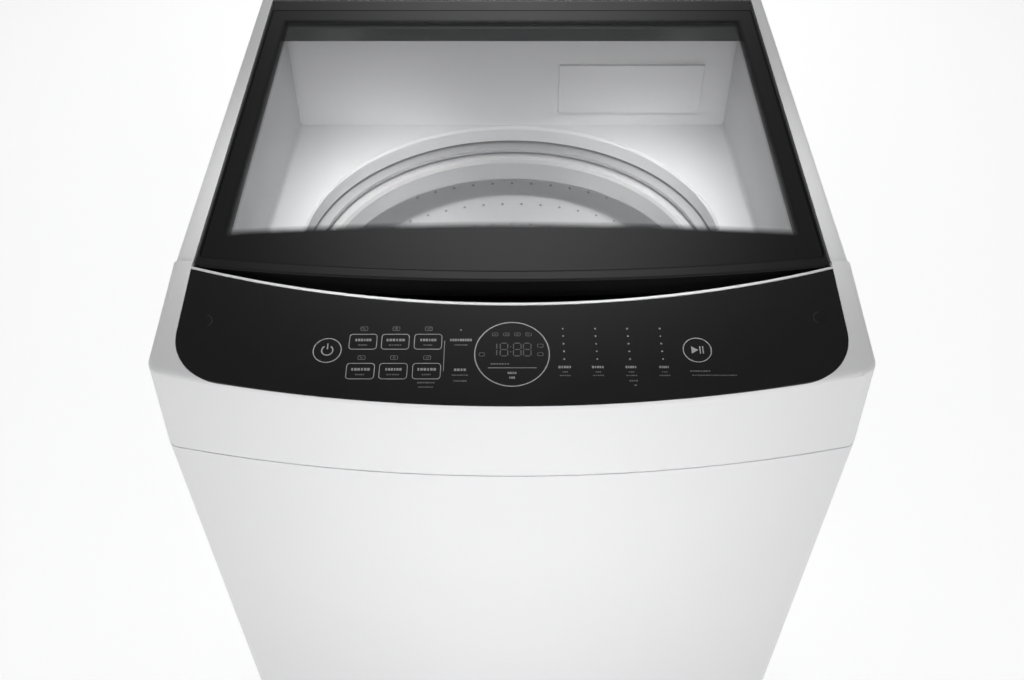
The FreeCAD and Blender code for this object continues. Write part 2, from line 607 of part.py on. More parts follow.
def make_top_cover():
    high = HEIGHT + 80
    block = top_block(0).common(box(-WIDTH, WIDTH, JOINT_Y + 0.4, REAR_Y + 10, SEAM_Z - 1, high))
    block = block.cut(above_plane(lid_z, 0, JOINT_Y - 10, REAR_Y + 20, WIDTH))
    block = block.makeFillet(TOP_FILLET, [e for e in block.Edges if is_rear_rim(e)])
    pocket_half = LID_HALF + LID_SIDE_GAP
    lid_pocket = above_plane(lid_z, LID_SEAT_DEPTH, JOINT_Y - 30, DECK_FRONT_Y, pocket_half)
    lining = above_plane(lid_z, LID_SEAT_DEPTH + TOP_WALL, JOINT_Y - 30, DECK_FRONT_Y + TOP_WALL,
                         pocket_half + TOP_WALL)
    hollow = top_block(TOP_WALL, SEAM_Z - 5).common(
        box(-WIDTH, WIDTH, JOINT_Y - 20, REAR_Y, SEAM_Z - 6, HEIGHT - TOP_WALL))
    hollow = hollow.cut(above_plane(lid_z, TOP_WALL, JOINT_Y - 30, DECK_FRONT_Y, WIDTH)).cut(lining)
    well = box(-WELL_HALF, WELL_HALF, JOINT_Y - 10, WELL_REAR_Y + TOP_WALL, SEAM_Z - 2, high)
    front_gap = box(-pocket_half, pocket_half, JOINT_Y - 10, RECESS_REAR_Y + 0.2, SEAM_Z - 2, high)
    solid = block.cut(lid_pocket).cut(hollow).cut(well).cut(front_gap)
    bosses = []
    for x0, x1 in ((pocket_half, pocket_half + 10), (-pocket_half - 10, -pocket_half)):
        bosses.append(cylinder_x(HINGE_BOSS_RADIUS, x0, x1, HINGE_Y, HINGE_Z))
    inlet_half = INLET_SPACING / 2 + INLET_RADIUS + 9
    pocket_front = REAR_Y - INLET_POCKET_DEPTH
    tall = INLET_RADIUS + 9
    niche = box(INLET_X - inlet_half - TOP_WALL, INLET_X + inlet_half + TOP_WALL,
                pocket_front - TOP_WALL, REAR_Y - 1, INLET_Z - tall - TOP_WALL, INLET_Z + tall + TOP_WALL)
    skirt = top_skirt().common(box(-WIDTH, WIDTH, JOINT_Y + 0.4, REAR_Y, 0, HEIGHT))
    solid = fuse(solid, niche, skirt, *bosses)
    cuts = [box(INLET_X - inlet_half, INLET_X + inlet_half, pocket_front, REAR_Y + 5,
                INLET_Z - tall, INLET_Z + tall)]
    for x in inlet_places():
        cuts.append(cylinder_y(INLET_RADIUS + 0.3, pocket_front - 8, pocket_front + 2, x, INLET_Z))
    pin = HINGE_PIN_RADIUS + RUNNING_GAP
    for side in (-1, 1):
        cuts.append(cylinder_x(pin, min(side * pocket_half, side * (pocket_half + 10)) - 1,
                               max(side * pocket_half, side * (pocket_half + 10)) + 1, HINGE_Y, HINGE_Z))
    save(cut(solid, *cuts).removeSplitter(), "top_cover")


def inlet_places():
    return [INLET_X - INLET_SPACING / 2, INLET_X + INLET_SPACING / 2]


def make_inner_shroud():
    """White moulding round the wash opening: plate, side and front walls, and the collar over the tub."""
    gap = 0.2
    half = WELL_HALF - gap
    front = RECESS_REAR_Y + gap
    rear = WELL_REAR_Y
    wall = TOP_WALL
    z_low = SHROUD_Z - wall
    outer = box(-half, half, front, rear, z_low, HEIGHT).cut(
        above_plane(lid_z, LID_SEAT_DEPTH + 0.3, JOINT_Y - 30, REAR_Y, WIDTH))
    inner = box(-half + wall, half - wall, front + wall, rear + 1, SHROUD_Z, HEIGHT + 10)
    upright = [e for e in inner.Edges if e.CenterOfMass.y < 0 and abs(e.Vertexes[0].Z - e.Vertexes[1].Z) > 1]
    inner = inner.makeFillet(26, upright)
    tray = outer.cut(inner)
    edge_inner = tray_inner_corner(tray)
    if edge_inner:
        tray = tray.makeFillet(5, edge_inner)
    outline = box(-OPENING_RADIUS - 5, OPENING_RADIUS + 5, front + wall + 6, OPENING_RADIUS + 5,
                  z_low - SHROUD_COLLAR - 2, SHROUD_Z + 2)
    opening = cylinder(OPENING_RADIUS, z_low - SHROUD_COLLAR - 2, SHROUD_Z + 2).common(outline)
    collar_out = cylinder(OPENING_RADIUS + wall, z_low - SHROUD_COLLAR, SHROUD_Z).common(
        box(-HALF_WIDTH, HALF_WIDTH, front, OPENING_RADIUS + 20, 0, SHROUD_Z))
    solid = tray.fuse(collar_out.common(box(-half, half, front, rear, 0, SHROUD_Z))).cut(opening)
    bevel = 2.5
    cone = Part.makeCone(OPENING_RADIUS, OPENING_RADIUS + bevel, bevel, vec(0, 0, SHROUD_Z - bevel))
    solid = solid.cut(cone.common(box(-HALF_WIDTH, HALF_WIDTH, front + wall + 6, REAR_Y, 0, HEIGHT)))
    save(solid.removeSplitter(), "inner_shroud")


def tray_inner_corner(tray):
    """Edges where the shroud's plate meets its inner walls."""
    limit = WELL_HALF - 1
    edges = []
    for e in tray.Edges:
        flat = abs(e.BoundBox.ZMin - SHROUD_Z) < 0.01 and abs(e.BoundBox.ZMax - SHROUD_Z) < 0.01
        if flat and e.CenterOfMass.y < WELL_REAR_Y - 1 and abs(e.CenterOfMass.x) < limit:
            edges.append(e)
    return edges


def make_rear_housing():
    """White wall behind the wash opening, with the drawer's slot, and its feet behind."""
    y0 = WELL_REAR_Y + 0.2
    y1 = y0 + TOP_WALL - 0.4
    half = WELL_HALF - 0.2
    wall = box(-half, half, y0, y1, SHROUD_Z - TOP_WALL, HEIGHT).cut(
        above_plane(lid_z, LID_SEAT_DEPTH + 0.3, JOINT_Y, REAR_Y, WIDTH))
    floor = box(-half, half, y0, REAR_Y - TOP_WALL - 0.2, SHROUD_Z - TOP_WALL, SHROUD_Z)
    slot = box(DRAWER_X0, DRAWER_X1, y0 - 1, y1 + 1, DRAWER_Z0, DRAWER_Z1)
    save(fuse(wall, floor).cut(slot), "rear_housing")


def make_dispenser():
    y0 = WELL_REAR_Y + TOP_WALL
    y1 = REAR_Y - TOP_WALL - 4
    wall = 2.0
    case = box(DRAWER_X0 - wall, DRAWER_X1 + wall, y0, y1, SHROUD_Z, DRAWER_Z1 + wall)
    inside = box(DRAWER_X0, DRAWER_X1, y0 - 1, y1 - wall, DRAWER_Z0, DRAWER_Z1)
    sump = box(DRAWER_X0 + 6, DRAWER_X1 - 6, y0 + 6, y1 - 8, SHROUD_Z + wall, DRAWER_Z0 + 1)
    inlet = cylinder_x(7.0, DRAWER_X0 - wall - 12, DRAWER_X0 - wall + 0.5, (y0 + y1) / 2, DRAWER_Z1 - 12)
    inlet_bore = cylinder_x(5.0, DRAWER_X0 - wall - 14, DRAWER_X0 + 1, (y0 + y1) / 2, DRAWER_Z1 - 12)
    save(case.fuse(inlet).cut(Part.makeCompound([inside, sump])).cut(inlet_bore).removeSplitter(),
         "dispenser_housing")
    gap = DRAWER_GAP
    front = WELL_REAR_Y - 1.5
    drawer = box(DRAWER_X0 + gap, DRAWER_X1 - gap, front, y1 - wall - 3, DRAWER_Z0 + 0.3, DRAWER_Z1 - 4)
    face = rounded_box(DRAWER_X0 - 5, DRAWER_X1 + 5, front - 4, front, DRAWER_Z0 - 4, DRAWER_Z1 + 2, 1.5)
    soap = box(DRAWER_X0 + gap + 2, 0.6 * DRAWER_X0 + 0.4 * DRAWER_X1, front + 3, y1 - wall - 5,
               DRAWER_Z0 + 3, DRAWER_Z1)
    softener = box(0.6 * DRAWER_X0 + 0.4 * DRAWER_X1 + 2, DRAWER_X1 - gap - 2, front + 3, y1 - wall - 5,
                   DRAWER_Z0 + 3, DRAWER_Z1)
    grip = box(DRAWER_X0 + 40, DRAWER_X1 - 40, front - 3, front + 0.8, DRAWER_Z0 + 4, DRAWER_Z0 + 18)
    save(drawer.fuse(face).cut(Part.makeCompound([soap, softener])).cut(grip).removeSplitter(),
         "dispenser_drawer")
    lid_x0 = 0.6 * DRAWER_X0 + 0.4 * DRAWER_X1 + 2.4
    cap = box(lid_x0, DRAWER_X1 - gap - 2.4, front + 3.4, y1 - wall - 5.4, DRAWER_Z1 - 7.5, DRAWER_Z1 - 5)
    rod_x = (lid_x0 + DRAWER_X1) / 2
    rod_y = (front + y1) / 2
    cap = fuse(cap, cylinder(5.0, DRAWER_Z0 + 3.3, DRAWER_Z1 - 6, rod_x, rod_y))
    save(cap, "siphon_cap")


def make_water_valve():
    """Double inlet valve: two threaded spigots out of the rear niche, two solenoids inside."""
    niche_front = REAR_Y - INLET_POCKET_DEPTH
    flange_rear = niche_front - TOP_WALL
    thread_start = niche_front + INLET_NECK_GAP
    parts = []
    bores = []
    for x in inlet_places():
        parts.append(cylinder_y(INLET_NECK, flange_rear - 1, thread_start + 1, x, INLET_Z))
        parts.append(cylinder_y(INLET_RADIUS, thread_start, thread_start + INLET_LENGTH, x, INLET_Z))
        parts.append(cylinder_y(INLET_RADIUS + 3, flange_rear - 6, flange_rear - 0.1, x, INLET_Z))
        parts.append(cylinder(11.0, INLET_Z - 40, INLET_Z - 8, x, flange_rear - 16))
        bores.append(cylinder_y(INLET_BORE, niche_front - 6, REAR_Y, x, INLET_Z))
    block = box(INLET_X - INLET_SPACING / 2 - 14, INLET_X + INLET_SPACING / 2 + 14, flange_rear - 28,
                flange_rear - 5, INLET_Z - 14, INLET_Z + 10)
    outlet = cylinder_x(6.0, INLET_X + INLET_SPACING / 2 + 12, INLET_X + INLET_SPACING / 2 + 26,
                        flange_rear - 16, INLET_Z)
    bracket = box(INLET_X - 20, INLET_X + 20, flange_rear - 20, flange_rear - 6, SHROUD_Z, INLET_Z - 13)
    save(cut(fuse(block, outlet, bracket, *parts), *bores), "water_valve")


# ---------------------------------------------------------------- lid
def lid_local(y):
    """Distance along the lid's slope from the hinge line to depth y."""
    return (y - HINGE_Y) / math.cos(math.radians(LID_SLOPE))


LID_FRONT_LOCAL = lid_local(LID_FRONT_Y)
LID_SIDE_LOCAL = lid_local(FRONT_Y + LID_SIDE_SETBACK)
LID_TOP = HINGE_BARREL      # lid's surface above the hinge line, in the lid's own frame
WINDOW_HALF = LID_HALF - LID_BORDER_SIDE
BUMPER_RADIUS = 4.5


def lid_face(side, front_shift, rear):
    """Lid outline in its own plane, with its curved front edge moved back by `front_shift`."""
    corner = LID_CORNER
    front_side = LID_SIDE_LOCAL + front_shift
    front_centre = LID_FRONT_LOCAL + front_shift
    depth = front_side - front_centre
    bow = (side ** 2 + depth ** 2) / (2 * depth)
    return bowed_face(side, front_centre, bow, corner, rear)


def window_face(grow, rear):
    side = WINDOW_HALF + grow
    front_side = LID_FRONT_LOCAL + LID_BORDER_FRONT_SIDE + LID_LIP_WIDTH - grow
    front_centre = LID_FRONT_LOCAL + LID_BORDER_FRONT + LID_LIP_WIDTH - 3 - grow
    return Part.Face(Part.Wire([
        arc(vec(-side, front_side), vec(0, front_centre), vec(side, front_side)),
        line(vec(side, front_side), vec(side, rear)),
        line(vec(side, rear), vec(-side, rear)),
        line(vec(-side, rear), vec(-side, front_side)),
    ]))


def make_lid():
    low = LID_TOP - LID_THICKNESS
    body = prism(lid_face(LID_HALF, 0, 0), low, LID_TOP)
    top_rim = [e for e in body.Edges if abs(e.CenterOfMass.z - LID_TOP) < 1e-6 and e.CenterOfMass.y < -1]
    body = body.makeFillet(2.0, top_rim)
    barrel = cylinder_x(HINGE_BARREL, -LID_HALF, LID_HALF, 0, 0)
    body = body.fuse(barrel)
    glass_rear = -LID_BORDER_REAR + 30
    seat = prism(lid_face(LID_HALF - 2.5, LID_LIP_WIDTH, glass_rear), LID_TOP - LID_GLASS - 0.4, LID_TOP + 5)
    groove = prism(window_face(0, -LID_BORDER_REAR), low - 1, LID_TOP)
    underside = prism(lid_face(LID_HALF - 3, 4, -HINGE_BARREL - 3), low - 1, low + 9)
    ribs = prism(window_face(3, -LID_BORDER_REAR + 3), low - 2, low + 10)
    front_rib = prism(lid_face(LID_HALF - 1, 34, -HINGE_BARREL), low - 2, low + 10).cut(
        prism(lid_face(LID_HALF - 4, 37, -HINGE_BARREL - 4), low - 3, low + 11))
    body = body.cut(seat).cut(underside.cut(ribs).cut(front_rib)).cut(groove)
    pin_hole_depth = HINGE_PIN_LENGTH - 10 - LID_SIDE_GAP
    bore = cylinder_x(HINGE_PIN_RADIUS, LID_HALF - pin_hole_depth, LID_HALF + 1, 0, 0)
    body = body.cut(bore).cut(mirrored(bore))
    places = bumper_places()
    posts = [cylinder(BUMPER_RADIUS + 1, low, low + 9.5, x, y) for x, y in places]
    body = body.fuse(Part.makeCompound(posts))
    magnet_x, magnet_y = magnet_place()
    body = body.fuse(cylinder(9.0, low, low + 9.5, magnet_x, magnet_y))
    body = body.cut(cylinder(6.1, low - 1, low + 4, magnet_x, magnet_y))
    save(on_lid(body.removeSplitter()), "lid_frame")

    pane = lid_face(LID_HALF - 3.0, LID_LIP_WIDTH + 0.5, glass_rear - 0.5)
    glass = prism(pane, LID_TOP - LID_GLASS, LID_TOP)
    rim = [e for e in glass.Edges if abs(e.CenterOfMass.z - LID_TOP) < 1e-6]
    save(on_lid(glass.makeChamfer(0.6, rim)), "lid_glass")

    reach = LID_HALF - pin_hole_depth
    pin = cylinder_x(HINGE_PIN_RADIUS, reach, reach + HINGE_PIN_LENGTH, 0, 0)
    save(on_lid(Part.makeCompound([pin, mirrored(pin)])), "hinge_pins")
    bumpers = []
    for x, y in places:
        dome = turned([(0, -LID_SEAT_GAP + 0.3), (BUMPER_RADIUS - 2, -LID_SEAT_GAP + 0.3),
                       (BUMPER_RADIUS, -LID_SEAT_GAP + 2), (BUMPER_RADIUS, 0), (0, 0)])
        dome.translate(vec(x, y, low))
        bumpers.append(dome)
    save(on_lid(Part.makeCompound(bumpers)), "lid_bumpers")
    save(on_lid(cylinder(6.0, low, low + 3.9, magnet_x, magnet_y)), "lid_magnet")


def bumper_places():
    """Two bumpers at the front and two at the rear, over the ledges of the rear cover."""
    x = LID_HALF - BUMPER_RADIUS - 1.5
    front = LID_SIDE_LOCAL + 48
    rear = -60.0
    return [(side * x, y) for side in (-1, 1) for y in (front, rear)]


def magnet_place():
    return LID_HALF * 0.6, LID_SIDE_LOCAL + 21


# ---------------------------------------------------------------- controls
def make_controls():
    deep = PANEL_THICKNESS + PANEL_ROOF
    gap = 0.3
    wall = 2.0
    floor = -deep - 26
    outer = box(-TRAY_HALF + gap, TRAY_HALF - gap, TRAY_FRONT + gap, TRAY_REAR - gap,
                floor, -PANEL_THICKNESS - gap)
    flange = box(-TRAY_HALF - 8, TRAY_HALF + 8, TRAY_FRONT - 5, TRAY_REAR + 4, -deep - wall, -deep)
    inner = box(-TRAY_HALF + gap + wall, TRAY_HALF - gap - wall, TRAY_FRONT + gap + wall,
                TRAY_REAR - gap - wall, floor + wall, 5)
    tray = outer.fuse(flange).cut(inner)
    board_z = -PANEL_THICKNESS - 7.5
    posts = []
    for x in (-0.85, -0.3, 0.3, 0.85):
        for y in (TRAY_FRONT + 14, TRAY_REAR - 14):
            posts.append(cylinder(4.0, floor + 1, board_z, x * TRAY_HALF, y))
    save(on_panel(fuse(tray, *posts)), "control_tray")

    board = box(-TRAY_HALF + 5, TRAY_HALF - 5, TRAY_FRONT + 5, TRAY_REAR - 5, board_z, board_z + 1.6)
    chips = [box(x, x + 12, 60, 72, board_z + 1.6, board_z + 3) for x in (-150, -90, 60, 130)]
    display = box(-24, 24, 34, 58, board_z + 1.6, -PANEL_THICKNESS - 0.5)
    save(on_panel(fuse(board, display, *chips)), "display_board")

    x0 = -PANEL_HALF + 12
    x1 = -TRAY_HALF - 12
    y0 = 48.0
    y1 = 100.0
    low = -deep - POWER_BOX_HEIGHT
    case = box(x0, x1, y0, y1, low, -deep)
    hollow = box(x0 + 2, x1 - 2, y0 + 2, y1 - 2, low + 2, -deep + 1)
    board = box(x0 + 2.5, x1 - 2.5, y0 + 2.5, y1 - 2.5, low + 2, low + 3.6)
    coil = cylinder(8.0, low + 3.6, low + 22, x0 + 16, y0 + 16)
    relays = [box(x0 + 32, x0 + 46, y0 + dy, y0 + dy + 14, low + 3.6, low + 20) for dy in (6, 24)]
    save(on_panel(Part.makeCompound([case.cut(hollow), fuse(board, coil, *relays)])), "power_board")


def make_sensors():
    x = magnet_place()[0]
    y1 = RECESS_REAR_Y - TOP_WALL
    sensor = box(x - 12, x + 12, y1 - 1, y1 - 0.3, RECESS_FLOOR_Z - 16, RECESS_FLOOR_Z - TOP_WALL)
    body = box(x - 12, x + 12, y1 - 22, y1 - 1, RECESS_FLOOR_Z - 14, RECESS_FLOOR_Z - TOP_WALL)
    save(fuse(sensor, body), "lid_sensor")
    deep = PANEL_THICKNESS + PANEL_ROOF
    dome = turned([(0, -deep), (24, -deep), (24, -deep - 10), (14, -deep - 16), (6, -deep - 18),
                   (6, -deep - 28), (0, -deep - 28)])
    dome.translate(vec((PANEL_HALF + TRAY_HALF) / 2, 76, 0))
    save(on_panel(dome), "pressure_sensor")


# ---------------------------------------------------------------- suspension
BRACKET_THICKNESS = 3.0
BRACKET_DROP = 34.0         # bracket's top below the seam
CAP_RADIUS = 13.0
EAR_THICKNESS = 14.0
EAR_WIDTH = 46.0
EAR_Z = BASKET_FLOOR_Z + 30  # underside of the tub's ears
CUP_FLANGE = 3.0
BRACKET_Z = SEAM_Z - BRACKET_DROP
ROD_FOOT_Z = EAR_Z - CUP_FLANGE - SPRING_LENGTH
ROD_WASHER = 3.0


def rod_places():
    return [(sx * ROD_X, sy * ROD_Y) for sx, sy in CORNERS]


def make_suspension():
    inside = cabinet_prism(SHEET + 0.2, 0, HEIGHT, CABINET_REAR_Y - 2 * SHEET - 0.2)
    side = HALF_WIDTH
    rear = REAR_Y
    brackets = []
    for sx, sy in CORNERS:
        points = [(sx * side, sy * (ROD_Y - 115)), (sx * side, sy * rear), (sx * (ROD_X - 105), sy * rear)]
        plate = plan_polygon(points, BRACKET_Z - BRACKET_THICKNESS, BRACKET_Z)
        rim = plan_polygon([(sx * side, sy * (ROD_Y - 90)), (sx * side, sy * rear),
                            (sx * (side - 6), sy * rear), (sx * (side - 6), sy * (ROD_Y - 90))],
                           BRACKET_Z - 22, BRACKET_Z - 0.5)
        plate = plate.fuse(rim).common(inside)
        brackets.append(plate.cut(cylinder(8.0, 0, HEIGHT, sx * ROD_X, sy * ROD_Y)).removeSplitter())
    save(Part.makeCompound(brackets), "corner_brackets")

    caps = []
    rods = []
    springs = []
    cups = []
    for x, y in rod_places():
        cap = turned([(0, 0.05), (7.5, 0.05), (7.5, 0.0), (CAP_RADIUS, 0.0), (CAP_RADIUS, 4),
                      (CAP_RADIUS - 4, 9), (CAP_RADIUS - 7, 10), (0, 10)])
        cap = cap.fuse(cylinder(7.5, -BRACKET_THICKNESS - 2, 1))
        cap.translate(vec(x, y, BRACKET_Z))
        caps.append(cap.cut(cylinder(ROD_RADIUS + 0.05, 0, HEIGHT, x, y)).removeSplitter())
        top = BRACKET_Z + 10
        rod = fuse(cylinder(ROD_RADIUS, ROD_FOOT_Z - 8, top + 1, x, y), cylinder(6.5, top, top + 3, x, y),
                   cylinder(SPRING_RADIUS + 3, ROD_FOOT_Z - ROD_WASHER, ROD_FOOT_Z, x, y),
                   cylinder(6.5, ROD_FOOT_Z - ROD_WASHER - 4, ROD_FOOT_Z - ROD_WASHER + 0.5, x, y))
        rods.append(rod)
        cup = fuse(cylinder(SPRING_RADIUS + 3, EAR_Z - CUP_FLANGE, EAR_Z, x, y),
                   cylinder(9.5, EAR_Z - 1, EAR_Z + EAR_THICKNESS + 3, x, y))
        cups.append(cup.cut(cylinder(ROD_RADIUS + 0.6, 0, HEIGHT, x, y)))
        springs.append(spring(x, y, ROD_FOOT_Z, EAR_Z - CUP_FLANGE))
    save(Part.makeCompound(caps), "suspension_caps")
    save(Part.makeCompound(rods), "suspension_rods")
    save(Part.makeCompound(cups), "spring_cups")
    save(Part.makeCompound(springs), "suspension_springs")


def spring(x, y, low, high):
    """Coil spring standing between two heights."""
    rise = high - low - 2 * SPRING_WIRE - 0.6
    helix = Part.makeHelix(rise / SPRING_TURNS, rise, SPRING_RADIUS)
    circle = Part.Wire([Part.makeCircle(SPRING_WIRE, vec(SPRING_RADIUS, 0, 0), vec(0, 1, 0))])
    solid = Part.Wire(helix.Edges).makePipeShell([circle], True, True)
    solid.translate(vec(x, y, low + SPRING_WIRE + 0.3))
    return solid


# ---------------------------------------------------------------- tub
BASE_RIBS = 28.0            # depth of the basket's moulded base under its floor
HUB_RADIUS = 30.0
FLANGE_THICKNESS = 10.0
FLANGE_RADIUS = 150.0
TUB_FLOOR_GAP = 18.0        # basket flange above the tub's floor
TUB_BOSS = 58.0
SEAL_OUTER = 32.0
PLATE_THICKNESS = 3.0
PLATE_HALF = 165.0
HOUSING_RADIUS = 40.0
BEARING_OUTER = 31.0
BEARING_HEIGHT = 14.0
HOUSING_LENGTH = 96.0
BASE_BOTTOM_Z = BASKET_FLOOR_Z - BASE_RIBS
FLANGE_Z = BASE_BOTTOM_Z - FLANGE_THICKNESS
TUB_FLOOR_Z = FLANGE_Z - TUB_FLOOR_GAP
TUB_UNDER_Z = TUB_FLOOR_Z - TUB_FLOOR
PLATE_Z = TUB_UNDER_Z - 12 - PLATE_THICKNESS
DRAIN_TUB_X = 60.0
DRAIN_TUB_Y = 182.0
SUMP_RADIUS = 16.0
HOUSING_TOP_Z = PLATE_Z
HOUSING_LOW_Z = HOUSING_TOP_Z - HOUSING_LENGTH


TUB_HOOP_RISE = 110.0       # first stiffening hoop above the ears
TUB_HOOP_PITCH = 90.0
TUB_HOOP_MARGIN = 60.0      # no hoop this close to the rim


def make_tub():
    rim_z = TUB_TOP_Z - 4
    shell = turned([(0, TUB_UNDER_Z), (TUB_RADIUS - 10, TUB_UNDER_Z), (TUB_RADIUS, TUB_UNDER_Z + 10),
                    (TUB_RADIUS, rim_z), (TUB_INNER, rim_z), (TUB_INNER, TUB_FLOOR_Z + 8),
                    (TUB_INNER - 8, TUB_FLOOR_Z), (0, TUB_FLOOR_Z)])
    extras = [cylinder(TUB_BOSS, TUB_UNDER_Z - 12, TUB_FLOOR_Z + 1)]
    for sx, sy in CORNERS:
        extras.append(cylinder(14.0, TUB_UNDER_Z - 12, TUB_UNDER_Z + 1,
                               sx * (PLATE_HALF - 25), sy * (PLATE_HALF - 60)))
    for x, y in rod_places():
        angle = math.degrees(math.atan2(y, x))
        reach = math.hypot(x, y) + EAR_WIDTH / 2
        ear = box(TUB_RADIUS - 2, reach, -EAR_WIDTH / 2, EAR_WIDTH / 2, EAR_Z, EAR_Z + EAR_THICKNESS)
        web = side_polygon([(TUB_RADIUS - 2, EAR_Z + EAR_THICKNESS - 1),
                            (reach - 30, EAR_Z + EAR_THICKNESS - 1),
                            (TUB_RADIUS - 2, EAR_Z + EAR_THICKNESS + 60)], -3, 3)
        web.rotate(vec(0, 0), vec(0, 0, 1), -90)
        for part in (ear, web):
            part.rotate(vec(0, 0), vec(0, 0, 1), angle)
        extras += [ear, web]
    first_hoop = EAR_Z + TUB_HOOP_RISE
    for i in range(1 + int((rim_z - TUB_HOOP_MARGIN - first_hoop) / TUB_HOOP_PITCH)):
        low = first_hoop + TUB_HOOP_PITCH * i
        extras.append(tube(TUB_RADIUS + 4, TUB_RADIUS - 1, low, low + 4))
    solid = shell.multiFuse(extras)
    holes = [cylinder(SEAL_OUTER + 0.1, TUB_UNDER_Z - 20, TUB_FLOOR_Z + 5),
             cylinder(SUMP_RADIUS, TUB_UNDER_Z - 5, TUB_FLOOR_Z + 5, DRAIN_TUB_X, DRAIN_TUB_Y)]
    holes += [cylinder(9.6, EAR_Z - 5, EAR_Z + EAR_THICKNESS + 5, x, y) for x, y in rod_places()]
    save(solid.cut(Part.makeCompound(holes)).removeSplitter(), "outer_tub")

    inner = BASKET_RADIUS - BALANCE_RING_WIDTH + 8
    cover = turned([(inner, TUB_TOP_Z - 4), (inner, TUB_TOP_Z), (TUB_RADIUS + 3, TUB_TOP_Z),
                    (TUB_RADIUS + 3, TUB_TOP_Z - 16), (TUB_RADIUS + 0.2, TUB_TOP_Z - 16),
                    (TUB_RADIUS + 0.2, TUB_TOP_Z - 4)])
    save(cover, "tub_cover")
    save(turned([(SPIN_SHAFT_RADIUS + 0.1, TUB_FLOOR_Z - 6), (SEAL_OUTER, TUB_FLOOR_Z - 6),
                 (SEAL_OUTER, TUB_FLOOR_Z + 2), (SEAL_OUTER - 6, TUB_FLOOR_Z + 3),
                 (SPIN_SHAFT_RADIUS + 0.1, TUB_FLOOR_Z + 3)]), "tub_seal")


# ---------------------------------------------------------------- basket
HOLE_RADIUS = 1.9
HOLE_ROWS = 11
HOLE_COLUMNS = 60
FILTER_WIDTH = 74.0
FILTER_RISE = 70.0          # filter's lower edge above the basket's floor
FILTER_TOP_GAP = 126.0      # filter's upper edge below the balance ring
FILTER_SLOT_PITCH = 11.0


